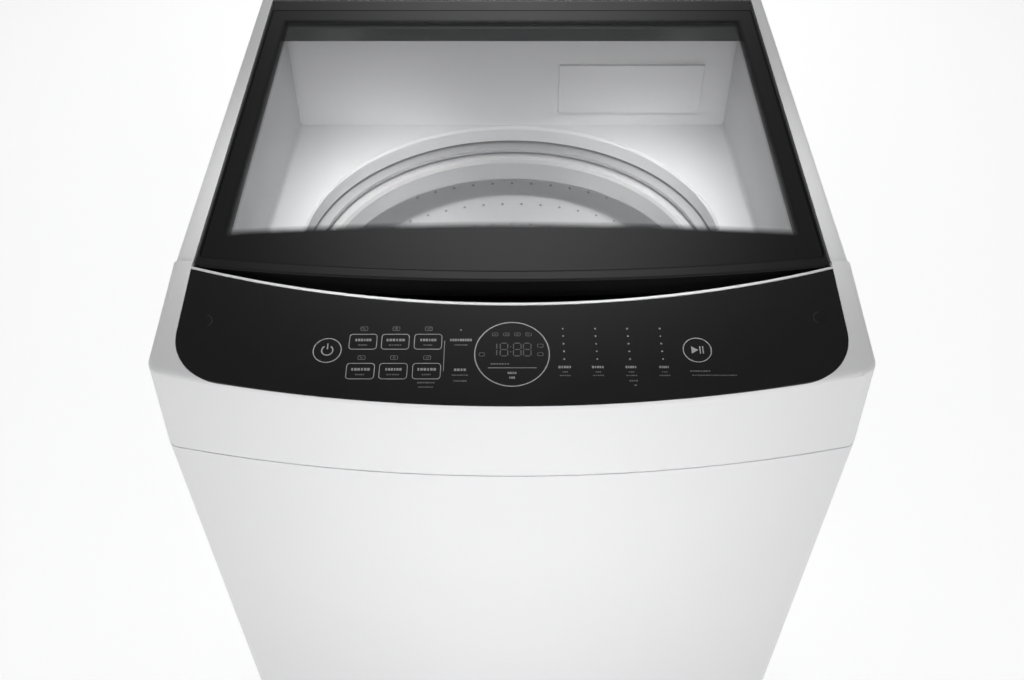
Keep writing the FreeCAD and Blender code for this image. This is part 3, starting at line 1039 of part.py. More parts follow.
def make_basket():
    top = BALANCE_TOP_Z
    ring_low = top - BALANCE_RING_HEIGHT
    wall_low = BASE_BOTTOM_Z + 4
    shell = tube(BASKET_RADIUS, BASKET_RADIUS - BASKET_SHEET, wall_low, ring_low + 10)
    low = BASKET_FLOOR_Z + 30
    high = ring_low - 30
    holes = []
    for row in range(HOLE_ROWS):
        z = low + (high - low) * row / (HOLE_ROWS - 1)
        for column in range(HOLE_COLUMNS):
            angle = 360 * (column + 0.5 * (row % 2)) / HOLE_COLUMNS
            hole = cylinder_x(HOLE_RADIUS, BASKET_RADIUS - 4, BASKET_RADIUS + 3, 0, z)
            hole.rotate(vec(0, 0), vec(0, 0, 1), angle)
            holes.append(hole)
    save(shell.cut(Part.makeCompound(holes)), "basket")

    ring = turned([(MOUTH_RADIUS, ring_low + 6), (MOUTH_RADIUS, top - 6), (MOUTH_RADIUS + 2, top - 2),
                   (MOUTH_RADIUS + 6, top), (BASKET_RADIUS - 2, top), (BASKET_RADIUS + 2, top - 4),
                   (BASKET_RADIUS + 2, ring_low), (BASKET_RADIUS + 0.1, ring_low),
                   (BASKET_RADIUS + 0.1, ring_low + 10.1),
                   (BASKET_RADIUS - BASKET_SHEET - 0.1, ring_low + 10.1),
                   (BASKET_RADIUS - BASKET_SHEET - 0.1, ring_low), (MOUTH_RADIUS + 6, ring_low),
                   (MOUTH_RADIUS + 2, ring_low + 2)])
    save(ring, "balance_ring")

    rim = BASKET_RADIUS - BASKET_SHEET - 0.1
    well = PULSATOR_RADIUS + 8
    base = turned([(HUB_RADIUS, BASE_BOTTOM_Z), (rim, BASE_BOTTOM_Z), (rim, BASKET_FLOOR_Z + 16),
                   (rim - 4, BASKET_FLOOR_Z + 16), (rim - 16, BASKET_FLOOR_Z), (well, BASKET_FLOOR_Z),
                   (well - 6, BASKET_FLOOR_Z - 14), (HUB_RADIUS, BASKET_FLOOR_Z - 14)])
    pockets = []
    for i in range(12):
        sector = turned_sector(HUB_RADIUS + 26, rim - 6, BASE_BOTTOM_Z - 1, BASE_BOTTOM_Z + 10, 24)
        sector.rotate(vec(0, 0), vec(0, 0, 1), 30 * i + 3)
        pockets.append(sector)
    for i in range(24):
        drain = cylinder(3.0, BASE_BOTTOM_Z, BASKET_FLOOR_Z, (PULSATOR_RADIUS - 14), 0)
        drain.rotate(vec(0, 0), vec(0, 0, 1), 15 * i + 7.5)
        pockets.append(drain)
    save(base.cut(Part.makeCompound(pockets)).removeSplitter(), "basket_base")

    hub = turned([(SPIN_SHAFT_RADIUS, FLANGE_Z - 2), (HUB_RADIUS - 0.2, FLANGE_Z - 2),
                  (HUB_RADIUS - 0.2, BASE_BOTTOM_Z + 8), (SPIN_SHAFT_RADIUS, BASE_BOTTOM_Z + 8)])
    arms = []
    for i in range(3):
        arm = box(SPIN_SHAFT_RADIUS + 4, FLANGE_RADIUS, -20, 20, FLANGE_Z, BASE_BOTTOM_Z)
        arm.rotate(vec(0, 0), vec(0, 0, 1), 90 + 120 * i)
        arms.append(arm)
    save(fuse(hub, *arms), "basket_flange")

    filters = []
    for angle in (45, 225):
        inner_wall = BASKET_RADIUS - BASKET_SHEET - 0.4
        z0 = BASKET_FLOOR_Z + FILTER_RISE
        height = BALANCE_TOP_Z - BALANCE_RING_HEIGHT - FILTER_TOP_GAP - z0
        block = turned_sector(inner_wall - 12, inner_wall, z0, z0 + height,
                              math.degrees(FILTER_WIDTH / inner_wall))
        slot_angle = math.degrees((FILTER_WIDTH - 24) / inner_wall)
        slots = []
        for i in range(int((height - 20) / FILTER_SLOT_PITCH)):
            low = z0 + 14 + FILTER_SLOT_PITCH * i
            slots.append(turned_sector(inner_wall - 14, inner_wall - 4, low, low + 6, slot_angle))
        margin = math.degrees(12 / inner_wall)
        for slot in slots:
            slot.rotate(vec(0, 0), vec(0, 0, 1), margin)
        piece = cut(block, *slots) if slots else block
        piece.rotate(vec(0, 0), vec(0, 0, 1), angle)
        filters.append(piece)
    save(Part.makeCompound(filters), "lint_filters")


def turned_sector(inner, outer, z0, z1, degrees):
    """Ring sector that starts at the +X direction."""
    profile = Part.makePolygon([vec(inner, 0, z0), vec(outer, 0, z0), vec(outer, 0, z1), vec(inner, 0, z1),
                                vec(inner, 0, z0)])
    return Part.Face(profile).revolve(vec(0, 0, 0), vec(0, 0, 1), degrees)


# ---------------------------------------------------------------- pulsator and drive
PULSATOR_MARGIN = 66.0      # ring of basket floor left round the pulsator
PULSATOR_RADIUS = BASKET_RADIUS - PULSATOR_MARGIN
PULSATOR_GAP = 3.0
ROTOR_RADIUS = 122.0
ROTOR_WALL = 4.0
MAGNET_THICKNESS = 6.0
AIR_GAP = 1.5
STATOR_HEIGHT = 34.0
STATOR_TEETH = 24
ROTOR_HUB = 22.0
COUPLER_HEIGHT = 16.0
STATOR_TOP_Z = HOUSING_LOW_Z
STATOR_LOW_Z = STATOR_TOP_Z - STATOR_HEIGHT
ROTOR_FLOOR_Z = STATOR_LOW_Z - 12
STATOR_RADIUS = ROTOR_RADIUS - ROTOR_WALL - MAGNET_THICKNESS - AIR_GAP
SPIN_SHAFT_LOW_Z = ROTOR_FLOOR_Z + ROTOR_WALL + 12
SHAFT_LOW_Z = ROTOR_FLOOR_Z - 16


def make_pulsator():
    low = BASKET_FLOOR_Z - 14 + PULSATOR_GAP
    disc = turned([(WASH_SHAFT_RADIUS, low), (PULSATOR_RADIUS, low), (PULSATOR_RADIUS, low + 8),
                   (PULSATOR_RADIUS - 8, low + 14), (60, low + 18), (36, low + 40), (20, low + 46),
                   (WASH_SHAFT_RADIUS, low + 46)])
    blades = []
    for i in range(6):
        blade = Part.makeSphere(26, vec(0, 0, 0))
        stretch = FreeCAD.Matrix()
        stretch.scale(2.35, 0.52, 0.9)
        blade = blade.transformGeometry(stretch)
        blade.translate(vec(112, 0, low + 12))
        blade = blade.cut(box(-PULSATOR_RADIUS, PULSATOR_RADIUS, -60, 60, low - 60, low + 6))
        blade.rotate(vec(112, 0), vec(0, 0, 1), 14)
        blade.rotate(vec(0, 0), vec(0, 0, 1), 60 * i)
        blades.append(blade)
    disc = disc.multiFuse(blades)
    disc = disc.cut(cylinder(13.0, low + 40, low + 60))
    disc = disc.cut(Part.makeCompound([hole_at(2.5, 156, 15 * i, low - 2, low + 22) for i in range(24)
                                       if i % 4 != 1]))
    save(disc.removeSplitter(), "pulsator")
    shaft_top = low + 40
    cap = turned([(0, shaft_top), (0, shaft_top + 4), (8, shaft_top + 4), (11, shaft_top + 2),
                  (11, shaft_top)])
    nut = Part.makePolygon([vec(17 * math.cos(math.radians(60 * i)), 17 * math.sin(math.radians(60 * i)))
                            for i in range(7)])
    nut = prism(Part.Face(nut), ROTOR_FLOOR_Z - 14, ROTOR_FLOOR_Z - 6)
    nut = nut.cut(cylinder(WASH_SHAFT_RADIUS, 0, HEIGHT))
    save(Part.makeCompound([cap, nut]), "shaft_fasteners")
    save(cylinder(WASH_SHAFT_RADIUS, SHAFT_LOW_Z, shaft_top), "wash_shaft")
    bore = WASH_SHAFT_RADIUS + RUNNING_GAP
    save(tube(SPIN_SHAFT_RADIUS, bore, SPIN_SHAFT_LOW_Z, BASE_BOTTOM_Z + 8), "spin_shaft")


def hole_at(radius, distance, degrees, z0, z1):
    angle = math.radians(degrees)
    return cylinder(radius, z0, z1, distance * math.cos(angle), distance * math.sin(angle))


def make_drive():
    plate = box(-PLATE_HALF, PLATE_HALF, -PLATE_HALF + 35, PLATE_HALF - 35,
                PLATE_Z, PLATE_Z + PLATE_THICKNESS)
    upright = [e for e in plate.Edges if abs(e.Vertexes[0].Z - e.Vertexes[1].Z) > 1]
    plate = plate.makeFillet(20, upright)
    ribs = [box(-PLATE_HALF + 12, PLATE_HALF - 12, side * 80 - 4, side * 80 + 4, PLATE_Z - 9, PLATE_Z + 0.5)
            for side in (-1, 1)]
    holes = [cylinder(HOUSING_RADIUS - 6, PLATE_Z - 20, PLATE_Z + 10)]
    holes += [cylinder(4.1, PLATE_Z - 20, PLATE_Z + 10, x, y) for x, y in plate_bolt_places()]
    save(fuse(plate, *ribs).cut(Part.makeCompound(holes)).removeSplitter(), "mounting_plate")
    bolts = []
    for x, y in plate_bolt_places():
        bolts.append(fuse(cylinder(7.0, PLATE_Z - 5, PLATE_Z, x, y),
                          cylinder(4.0, PLATE_Z - 1, PLATE_Z + PLATE_THICKNESS, x, y)))
    save(Part.makeCompound(bolts), "plate_bolts")

    low = HOUSING_LOW_Z
    top = HOUSING_TOP_Z
    seat = BEARING_OUTER + 0.02
    free = SPIN_SHAFT_RADIUS + 4
    housing = turned([(free, low), (72, low), (72, low + 6), (HOUSING_RADIUS, low + 10),
                      (HOUSING_RADIUS, top - 8), (74, top - 5), (74, top), (seat, top),
                      (seat, top - BEARING_HEIGHT), (free, top - BEARING_HEIGHT),
                      (free, low + BEARING_HEIGHT + 8), (seat, low + BEARING_HEIGHT + 8), (seat, low + 8),
                      (free, low + 8)])
    save(housing, "bearing_housing")
    bearings = [tube(BEARING_OUTER, SPIN_SHAFT_RADIUS + RUNNING_GAP, z, z + BEARING_HEIGHT)
                for z in (top - BEARING_HEIGHT, low + 8)]
    save(Part.makeCompound(bearings), "bearings")

    core = tube(72, 48, STATOR_LOW_Z + 6, STATOR_TOP_Z)
    teeth = []
    coils = []
    for i in range(STATOR_TEETH):
        angle = 360 * i / STATOR_TEETH
        tooth = fuse(box(70, STATOR_RADIUS - 2, -3, 3, STATOR_LOW_Z + 8, STATOR_TOP_Z - 8),
                     box(STATOR_RADIUS - 5, STATOR_RADIUS - 0.5, -9, 9, STATOR_LOW_Z + 8, STATOR_TOP_Z - 8))
        coil = box(74, STATOR_RADIUS - 6, -6, 6, STATOR_LOW_Z + 5, STATOR_TOP_Z - 5).cut(
            box(60, STATOR_RADIUS, -3.05, 3.05, STATOR_LOW_Z + 7.9, STATOR_TOP_Z - 7.9))
        for part in (tooth, coil):
            part.rotate(vec(0, 0), vec(0, 0, 1), angle)
        teeth.append(tooth)
        coils.append(coil)
    core = core.multiFuse(teeth).common(cylinder(STATOR_RADIUS, STATOR_LOW_Z, STATOR_TOP_Z))
    save(Part.makeCompound([core.removeSplitter()] + coils), "stator")

    rotor_top = STATOR_TOP_Z - 2
    rotor = turned([(WASH_SHAFT_RADIUS, ROTOR_FLOOR_Z - 6), (ROTOR_HUB, ROTOR_FLOOR_Z - 6),
                    (ROTOR_HUB, ROTOR_FLOOR_Z), (ROTOR_RADIUS, ROTOR_FLOOR_Z), (ROTOR_RADIUS, rotor_top),
                    (ROTOR_RADIUS - ROTOR_WALL, rotor_top),
                    (ROTOR_RADIUS - ROTOR_WALL, ROTOR_FLOOR_Z + ROTOR_WALL),
                    (ROTOR_HUB, ROTOR_FLOOR_Z + ROTOR_WALL), (ROTOR_HUB, ROTOR_FLOOR_Z + ROTOR_WALL + 6),
                    (WASH_SHAFT_RADIUS, ROTOR_FLOOR_Z + ROTOR_WALL + 6)])
    rotor = rotor.cut(Part.makeCompound([hole_at(9, 80, 45 * i, ROTOR_FLOOR_Z - 8, ROTOR_FLOOR_Z + 10)
                                         for i in range(8)]))
    outer = ROTOR_RADIUS - ROTOR_WALL - 0.05
    magnets = tube(outer, outer - MAGNET_THICKNESS, ROTOR_FLOOR_Z + ROTOR_WALL, rotor_top)
    save(Part.makeCompound([rotor, magnets]), "rotor")
    coupler_low = STATOR_LOW_Z + 6
    coupler = tube(30, SPIN_SHAFT_RADIUS + RUNNING_GAP, coupler_low, coupler_low + COUPLER_HEIGHT)
    teeth = []
    for i in range(12):
        tooth = box(24, 33, -2.5, 2.5, coupler_low, coupler_low + 8)
        tooth.rotate(vec(0, 0), vec(0, 0, 1), 30 * i)
        teeth.append(tooth)
    save(fuse(coupler, *teeth), "clutch_coupler")


def plate_bolt_places():
    return [(sx * (PLATE_HALF - 25), sy * (PLATE_HALF - 60)) for sx, sy in CORNERS]


# ---------------------------------------------------------------- drain
VALVE_RADIUS = 22.0
VALVE_BORE = 17.0
PLUNGER_GAP = 0.4
PLUNGER_TRAVEL = 12.0
VALVE_DROP = 46.0


def make_drain():
    z = TUB_UNDER_Z - VALVE_DROP
    x0 = DRAIN_TUB_X - 34
    x1 = DRAIN_TUB_X + 30
    y = DRAIN_TUB_Y
    body = fuse(cylinder_x(VALVE_RADIUS, x0, x1, y, z),
                cylinder(SUMP_RADIUS + 5, z, TUB_UNDER_Z, DRAIN_TUB_X, y),
                cylinder_y(15.0, y, y + 48, DRAIN_TUB_X, z))
    seat = x1 - 12
    body = cut(body, cylinder_x(VALVE_BORE, x0 + 3, seat, y, z),
               cylinder(SUMP_RADIUS - 3, z, TUB_UNDER_Z + 1, DRAIN_TUB_X, y),
               cylinder_y(11.0, y, y + 50, DRAIN_TUB_X, z), cylinder_x(5.0, x0 - 1, x0 + 5, y, z))
    save(body, "drain_valve")
    disc_x = x0 + 3 + PLUNGER_TRAVEL + 2
    motor_x1 = x0 - 50
    plunger = fuse(cylinder_x(VALVE_BORE - PLUNGER_GAP, disc_x, disc_x + 10, y, z),
                   cylinder_x(4.0, motor_x1 - 6, disc_x + 1, y, z))
    save(plunger, "drain_plunger")
    motor = box(motor_x1 - 52, motor_x1, y - 24, y + 20, z - 16, z + 18)
    hanger = box(motor_x1 - 46, motor_x1 - 8, y + 4, y + 8, z + 17, TUB_UNDER_Z)
    bore = cylinder_x(4.0 + PLUNGER_GAP, motor_x1 - 6 - PLUNGER_TRAVEL - 3, motor_x1 + 1, y, z)
    save(fuse(motor, hanger).cut(bore), "drain_motor")


# ---------------------------------------------------------------- build every piece
make_cabinet_wrap()
make_rear_panel()
make_casing_screws()
make_side_grips()
make_base()
make_feet()
make_rear_ports()
make_front_cover()
make_control_panel()
make_grip_recess()
make_top_cover()
make_inner_shroud()
make_rear_housing()
make_dispenser()
make_water_valve()
make_lid()
make_controls()
make_sensors()
make_suspension()
make_tub()
make_basket()
make_pulsator()
make_drive()
make_drain()
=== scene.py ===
"""Looks of the top load washing machine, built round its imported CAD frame. Metres, +Z up, front at -Y."""
import math
import bmesh
import bpy
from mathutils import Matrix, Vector


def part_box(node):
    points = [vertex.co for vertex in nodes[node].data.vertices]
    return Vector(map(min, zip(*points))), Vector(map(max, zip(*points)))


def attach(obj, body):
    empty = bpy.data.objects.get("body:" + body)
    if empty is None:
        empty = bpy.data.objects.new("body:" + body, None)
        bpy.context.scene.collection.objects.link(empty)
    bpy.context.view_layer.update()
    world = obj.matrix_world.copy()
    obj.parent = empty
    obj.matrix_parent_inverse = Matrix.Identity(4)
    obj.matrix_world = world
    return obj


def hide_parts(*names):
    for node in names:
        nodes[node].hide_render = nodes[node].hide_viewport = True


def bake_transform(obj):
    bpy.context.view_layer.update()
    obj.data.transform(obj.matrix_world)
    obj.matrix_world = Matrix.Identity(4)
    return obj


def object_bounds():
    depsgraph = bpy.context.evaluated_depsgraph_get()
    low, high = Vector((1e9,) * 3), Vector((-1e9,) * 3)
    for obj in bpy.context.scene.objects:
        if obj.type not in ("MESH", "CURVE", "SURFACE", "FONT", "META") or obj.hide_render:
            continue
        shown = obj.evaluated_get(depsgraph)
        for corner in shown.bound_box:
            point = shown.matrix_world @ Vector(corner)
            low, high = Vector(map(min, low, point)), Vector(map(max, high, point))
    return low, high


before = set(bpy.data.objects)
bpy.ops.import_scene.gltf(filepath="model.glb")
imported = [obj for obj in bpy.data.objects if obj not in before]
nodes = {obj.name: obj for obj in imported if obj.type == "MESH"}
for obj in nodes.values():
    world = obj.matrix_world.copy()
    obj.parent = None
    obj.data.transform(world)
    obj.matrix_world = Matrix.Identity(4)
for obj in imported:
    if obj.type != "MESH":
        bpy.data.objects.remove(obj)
cad_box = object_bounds()
MM = 0.001
MICRON = 0.000001


# ---------------------------------------------------------------- shader helpers
DRIFT_SCALE = 9.0           # slow colour drift over a surface
SMEAR_SCALE = 38.0          # uneven roughness
GRAIN_STRENGTH = 0.6
COAT_ROUGHNESS = 0.06


def new_material(name):
    material = bpy.data.materials.new(name)
    material.use_nodes = True
    tree = material.node_tree
    return material, tree, tree.nodes["Principled BSDF"]


def object_coordinates(tree):
    return tree.nodes.new("ShaderNodeTexCoord").outputs["Object"]


def noise(tree, scale, detail=3.0, stretch=(1, 1, 1)):
    """Noise in object space; stretch squeezes it along an axis, for brushing and grain."""
    mapping = tree.nodes.new("ShaderNodeMapping")
    mapping.inputs["Scale"].default_value = stretch
    tree.links.new(object_coordinates(tree), mapping.inputs["Vector"])
    texture = tree.nodes.new("ShaderNodeTexNoise")
    texture.inputs["Scale"].default_value = scale
    texture.inputs["Detail"].default_value = detail
    tree.links.new(mapping.outputs["Vector"], texture.inputs["Vector"])
    return texture.outputs["Fac"]


def ramp(tree, value, low, high, start=0.3, end=0.7):
    """Map the values from start to end onto the numbers from low to high."""
    node = tree.nodes.new("ShaderNodeMapRange")
    node.inputs["From Min"].default_value = start
    node.inputs["From Max"].default_value = end
    node.inputs["To Min"].default_value = low
    node.inputs["To Max"].default_value = high
    tree.links.new(value, node.inputs["Value"])
    return node.outputs["Result"]


def smooth(tree, value, start, end, height):
    """Rise softly from 0 at start to height at end."""
    node = tree.nodes.new("ShaderNodeMapRange")
    node.interpolation_type = "SMOOTHSTEP"
    node.inputs["From Min"].default_value = start
    node.inputs["From Max"].default_value = end
    node.inputs["To Max"].default_value = height
    tree.links.new(value, node.inputs["Value"])
    return node.outputs["Result"]


def math_node(tree, operation, first, second=None):
    node = tree.nodes.new("ShaderNodeMath")
    node.operation = operation
    for socket, value in zip(node.inputs, (first, second)):
        if isinstance(value, (int, float)):
            socket.default_value = value
        elif value is not None:
            tree.links.new(value, socket)
    return node.outputs["Value"]


def tint(tree, value, color_a, color_b):
    node = tree.nodes.new("ShaderNodeMix")
    node.data_type = "RGBA"
    node.inputs["A"].default_value = (*color_a, 1)
    node.inputs["B"].default_value = (*color_b, 1)
    tree.links.new(value, node.inputs["Factor"])
    return node.outputs["Result"]


def bump(tree, shader, height, strength, distance):
    node = tree.nodes.new("ShaderNodeBump")
    node.inputs["Strength"].default_value = strength
    node.inputs["Distance"].default_value = distance
    tree.links.new(height, node.inputs["Height"])
    tree.links.new(node.outputs["Normal"], shader.inputs["Normal"])


def finish_material(name, color, roughness, variation, spread, grain, depth,
                    metallic=0.0, coat=0.0, stretch=(1, 1, 1)):
    """Moulded plastic, paint or metal: slight colour drift, uneven roughness and a fine surface grain."""
    material, tree, shader = new_material(name)
    dark = tuple(c * (1 - variation) for c in color)
    light = tuple(min(1.0, c * (1 + variation)) for c in color)
    drift = ramp(tree, noise(tree, DRIFT_SCALE), 0, 1)
    tree.links.new(tint(tree, drift, dark, light), shader.inputs["Base Color"])
    smear = noise(tree, SMEAR_SCALE, 5.0, stretch)
    tree.links.new(ramp(tree, smear, roughness - spread, roughness + spread), shader.inputs["Roughness"])
    bump(tree, shader, noise(tree, grain, 2.0, stretch), GRAIN_STRENGTH, depth)
    shader.inputs["Metallic"].default_value = metallic
    shader.inputs["Coat Weight"].default_value = coat
    shader.inputs["Coat Roughness"].default_value = COAT_ROUGHNESS
    return material


def grey(value):
    return (value, value, value * 1.01)


# ---------------------------------------------------------------- lid glass
GLASS_LOW, GLASS_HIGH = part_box("lid_glass")
WINDOW_HALF = GLASS_HIGH.x - 18 * MM
WINDOW_FRONT = GLASS_LOW.y + 57.0 * MM
WINDOW_REAR = GLASS_HIGH.y - 22 * MM
WINDOW_FADE = 4.5 * MM      # half the width over which the black border fades out
WINDOW_BOW = 10.4 * MM      # how much further forward the window reaches at its corners than at its middle
CLEAR_ALPHA = 0.06          # share of light that the clear glass holds back at each face
CLEAR_COLOR = (0.50, 0.51, 0.52)
BORDER_COLOR = (0.006, 0.006, 0.0065)
BORDER_ONSET = 5.0          # the colour turns black this much sooner than the glass turns opaque
GLASS_IOR = 1.45


def glass_material():
    """Tempered glass with a black printed border that fades towards the clear window."""
    material, tree, shader = new_material("lid_glass_printed")
    separate = tree.nodes.new("ShaderNodeSeparateXYZ")
    tree.links.new(object_coordinates(tree), separate.inputs["Vector"])
    x, y = separate.outputs["X"], separate.outputs["Y"]
    side = math_node(tree, "ABSOLUTE", x)
    side_mask = ramp(tree, side, 0, 1, WINDOW_HALF - WINDOW_FADE, WINDOW_HALF + WINDOW_FADE)
    bow = math_node(tree, "MULTIPLY", math_node(tree, "MULTIPLY", x, x), WINDOW_BOW / WINDOW_HALF ** 2)
    front = math_node(tree, "ADD", y, bow)
    front_mask = ramp(tree, front, 1, 0, WINDOW_FRONT - WINDOW_FADE, WINDOW_FRONT + WINDOW_FADE)
    rear_mask = ramp(tree, y, 0, 1, WINDOW_REAR - WINDOW_FADE, WINDOW_REAR + WINDOW_FADE)
    mask = math_node(tree, "MAXIMUM", math_node(tree, "MAXIMUM", side_mask, front_mask), rear_mask)
    black = math_node(tree, "MINIMUM", math_node(tree, "MULTIPLY", mask, BORDER_ONSET), 1.0)
    tree.links.new(tint(tree, black, CLEAR_COLOR, BORDER_COLOR), shader.inputs["Base Color"])
    tree.links.new(ramp(tree, mask, CLEAR_ALPHA, 1.0, 0, 1), shader.inputs["Alpha"])
    tree.links.new(ramp(tree, noise(tree, 22.0, 5.0), 0.015, 0.05), shader.inputs["Roughness"])
    shader.inputs["IOR"].default_value = GLASS_IOR
    return material


# ---------------------------------------------------------------- materials of the CAD pieces
WHITE_PAINT = finish_material("white_enamel", grey(0.83), 0.32, variation=0.006, spread=0.03,
                              grain=420, depth=6 * MICRON, coat=0.3)
WHITE_PLASTIC = finish_material("white_gloss_plastic", grey(0.84), 0.32, variation=0.006, spread=0.03,
                                grain=420, depth=4 * MICRON, coat=0.3)
SHROUD = finish_material("shroud_plastic", grey(0.76), 0.36, variation=0.008, spread=0.04,
                         grain=800, depth=6 * MICRON)
PANEL = finish_material("black_acrylic", grey(0.0065), 0.20, variation=0.10, spread=0.03,
                        grain=1500, depth=4 * MICRON)
LID_BLACK = finish_material("black_lid_plastic", grey(0.0060), 0.20, variation=0.10, spread=0.04,
                            grain=1200, depth=6 * MICRON)
RECESS = finish_material("recess_plastic", grey(0.006), 0.60, variation=0.15, spread=0.08,
                         grain=1100, depth=40 * MICRON)
TRIM = finish_material("satin_metal_trim", grey(0.88), 0.26, variation=0.03, spread=0.05,
                       grain=600, depth=6 * MICRON, metallic=0.35, stretch=(0.04, 1, 1))
ZINC = finish_material("zinc_plate", (0.60, 0.62, 0.63), 0.38, variation=0.10, spread=0.12,
                       grain=240, depth=40 * MICRON, metallic=0.9)
STEEL = finish_material("machined_steel", (0.52, 0.53, 0.55), 0.30, variation=0.06, spread=0.08,
                        grain=500, depth=20 * MICRON, metallic=1.0)
STAINLESS = finish_material("stainless_basket", (0.82, 0.83, 0.84), 0.38, variation=0.03, spread=0.06,
                            grain=380, depth=8 * MICRON, metallic=0.25, stretch=(1, 1, 0.06))
CAST = finish_material("cast_aluminium", (0.55, 0.56, 0.57), 0.48, variation=0.06, spread=0.08,
                       grain=700, depth=80 * MICRON, metallic=0.9)
RUBBER = finish_material("black_rubber", (0.018, 0.018, 0.019), 0.78, variation=0.2, spread=0.08,
                         grain=1400, depth=60 * MICRON)
FOOT = finish_material("foot_plastic", (0.05, 0.05, 0.053), 0.55, variation=0.15, spread=0.08,
                       grain=1200, depth=50 * MICRON)
BASE = finish_material("base_plastic", (0.055, 0.056, 0.060), 0.55, variation=0.10, spread=0.08,
                       grain=1300, depth=60 * MICRON)
# Partly the tub's own grey, partly painted shade: set darker so that the tub cover's ring inside the tub
# stands in for the shaded band under the shroud.
TUB = finish_material("tub_polypropylene_and_painted_shade", grey(0.40), 0.50, variation=0.02, spread=0.05,
                      grain=650, depth=10 * MICRON)
RING = finish_material("balance_ring_plastic", grey(0.50), 0.45, variation=0.015, spread=0.05,
                       grain=700, depth=8 * MICRON)
PULSATOR = finish_material("pulsator_plastic", (0.62, 0.63, 0.65), 0.28, variation=0.015, spread=0.05,
                           grain=700, depth=8 * MICRON, coat=0.2)
BOARD = finish_material("circuit_board", (0.02, 0.12, 0.05), 0.45, variation=0.2, spread=0.1,
                        grain=300, depth=80 * MICRON)
INNER_BLACK = finish_material("housing_black", (0.022, 0.022, 0.024), 0.50, variation=0.15, spread=0.08,
                              grain=1000, depth=50 * MICRON)
LAMINATE = finish_material("stator_laminate", (0.25, 0.21, 0.17), 0.45, variation=0.15, spread=0.1,
                           grain=300, depth=80 * MICRON, metallic=0.7, stretch=(1, 1, 12))
LID_GLASS = glass_material()

NODE_MATERIALS = {
    WHITE_PAINT: ["cabinet_wrap"],
    WHITE_PLASTIC: ["front_cover", "top_cover", "side_grips"],
    SHROUD: ["inner_shroud", "rear_housing", "dispenser_housing", "dispenser_drawer"],
    PANEL: ["control_panel"],
    LID_BLACK: ["lid_frame"],
    LID_GLASS: ["lid_glass"],
    RECESS: ["grip_recess"],
    TRIM: ["panel_trim"],
    ZINC: ["rear_panel", "foot_lock_nuts", "corner_brackets", "suspension_rods", "mounting_plate", "rotor"],
    STEEL: ["casing_screws", "suspension_springs", "hinge_pins", "lid_magnet", "plate_bolts", "bearings",
            "spin_shaft", "shaft_fasteners", "wash_shaft", "clutch_coupler"],
    STAINLESS: ["basket"],
    CAST: ["bearing_housing", "basket_flange"],
    RUBBER: ["cord_gland", "lid_bumpers", "tub_seal", "drain_plunger"],
    FOOT: ["rear_feet", "front_foot_left", "front_foot_right"],
    BASE: ["base_frame", "base_guard"],
    TUB: ["outer_tub", "tub_cover", "lint_filters"],
    RING: ["balance_ring", "basket_base", "siphon_cap"],
    PULSATOR: ["pulsator"],
    BOARD: ["display_board", "power_board"],
    INNER_BLACK: ["drain_outlet", "control_tray", "lid_sensor", "pressure_sensor", "water_valve",
                  "suspension_caps", "spring_cups", "drain_valve", "drain_motor"],
    LAMINATE: ["stator"],
}
for material, names in NODE_MATERIALS.items():
    for name in names:
        slots = nodes[name].data.materials
        slots.clear()
        slots.append(material)
        for polygon in nodes[name].data.polygons:
            polygon.material_index = 0


def new_piece(name, mesh):
    piece = bpy.data.objects.new(name, mesh)
    bpy.context.scene.collection.objects.link(piece)
    return piece


# ---------------------------------------------------------------- suspension springs
def shortening_springs():
    """The springs again, as a piece of their own between the cabinet and the tub, in place of the hidden CAD
    springs.
    """
    piece = new_piece("springs_in_use", nodes["suspension_springs"].data.copy())
    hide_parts("suspension_springs")
    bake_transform(piece)


shortening_springs()


# ---------------------------------------------------------------- printed panel: its plane and its layers
PANEL_SLOPE = math.radians(14.7)
PRINT_START = 1.4 * MM          # the printing is measured from a line this far in front of the panel
PANEL_NORMAL = Vector((0, -math.sin(PANEL_SLOPE), math.cos(PANEL_SLOPE)))
PANEL_ALONG = Vector((0, math.cos(PANEL_SLOPE), math.sin(PANEL_SLOPE)))
PANEL_OFFSET = max(PANEL_NORMAL.dot(v.co) for v in nodes["control_panel"].data.vertices)
PANEL_FRONT_Y = min(v.co.y for v in nodes["control_panel"].data.vertices) - PRINT_START
PANEL_ORIGIN = Vector((0, PANEL_FRONT_Y, (PANEL_OFFSET + math.sin(PANEL_SLOPE) * PANEL_FRONT_Y)
                       / math.cos(PANEL_SLOPE)))
LAYER_UNDER = 0.01 * MM           # underside and top of the printing and of the painted shade and highlight, above the panel
LAYER_TOP = 0.06 * MM
RING_SIDES = 64
DOT_SIDES = 20
CORNER_STEPS = 6                # straight pieces in each rounded corner of a key


def on_panel(x, y, lift=0.0):
    """A point of the panel: x from its centre line, y up its slope from the front edge, both in mm."""
    return PANEL_ORIGIN + Vector((x * MM, 0, 0)) + PANEL_ALONG * (y * MM) + PANEL_NORMAL * lift


def arc_points(x, y, radius, angles):
    return [(x + radius * math.cos(a), y + radius * math.sin(a)) for a in angles]


def full_turn(sides):
    return [2 * math.pi * i / sides for i in range(sides)]


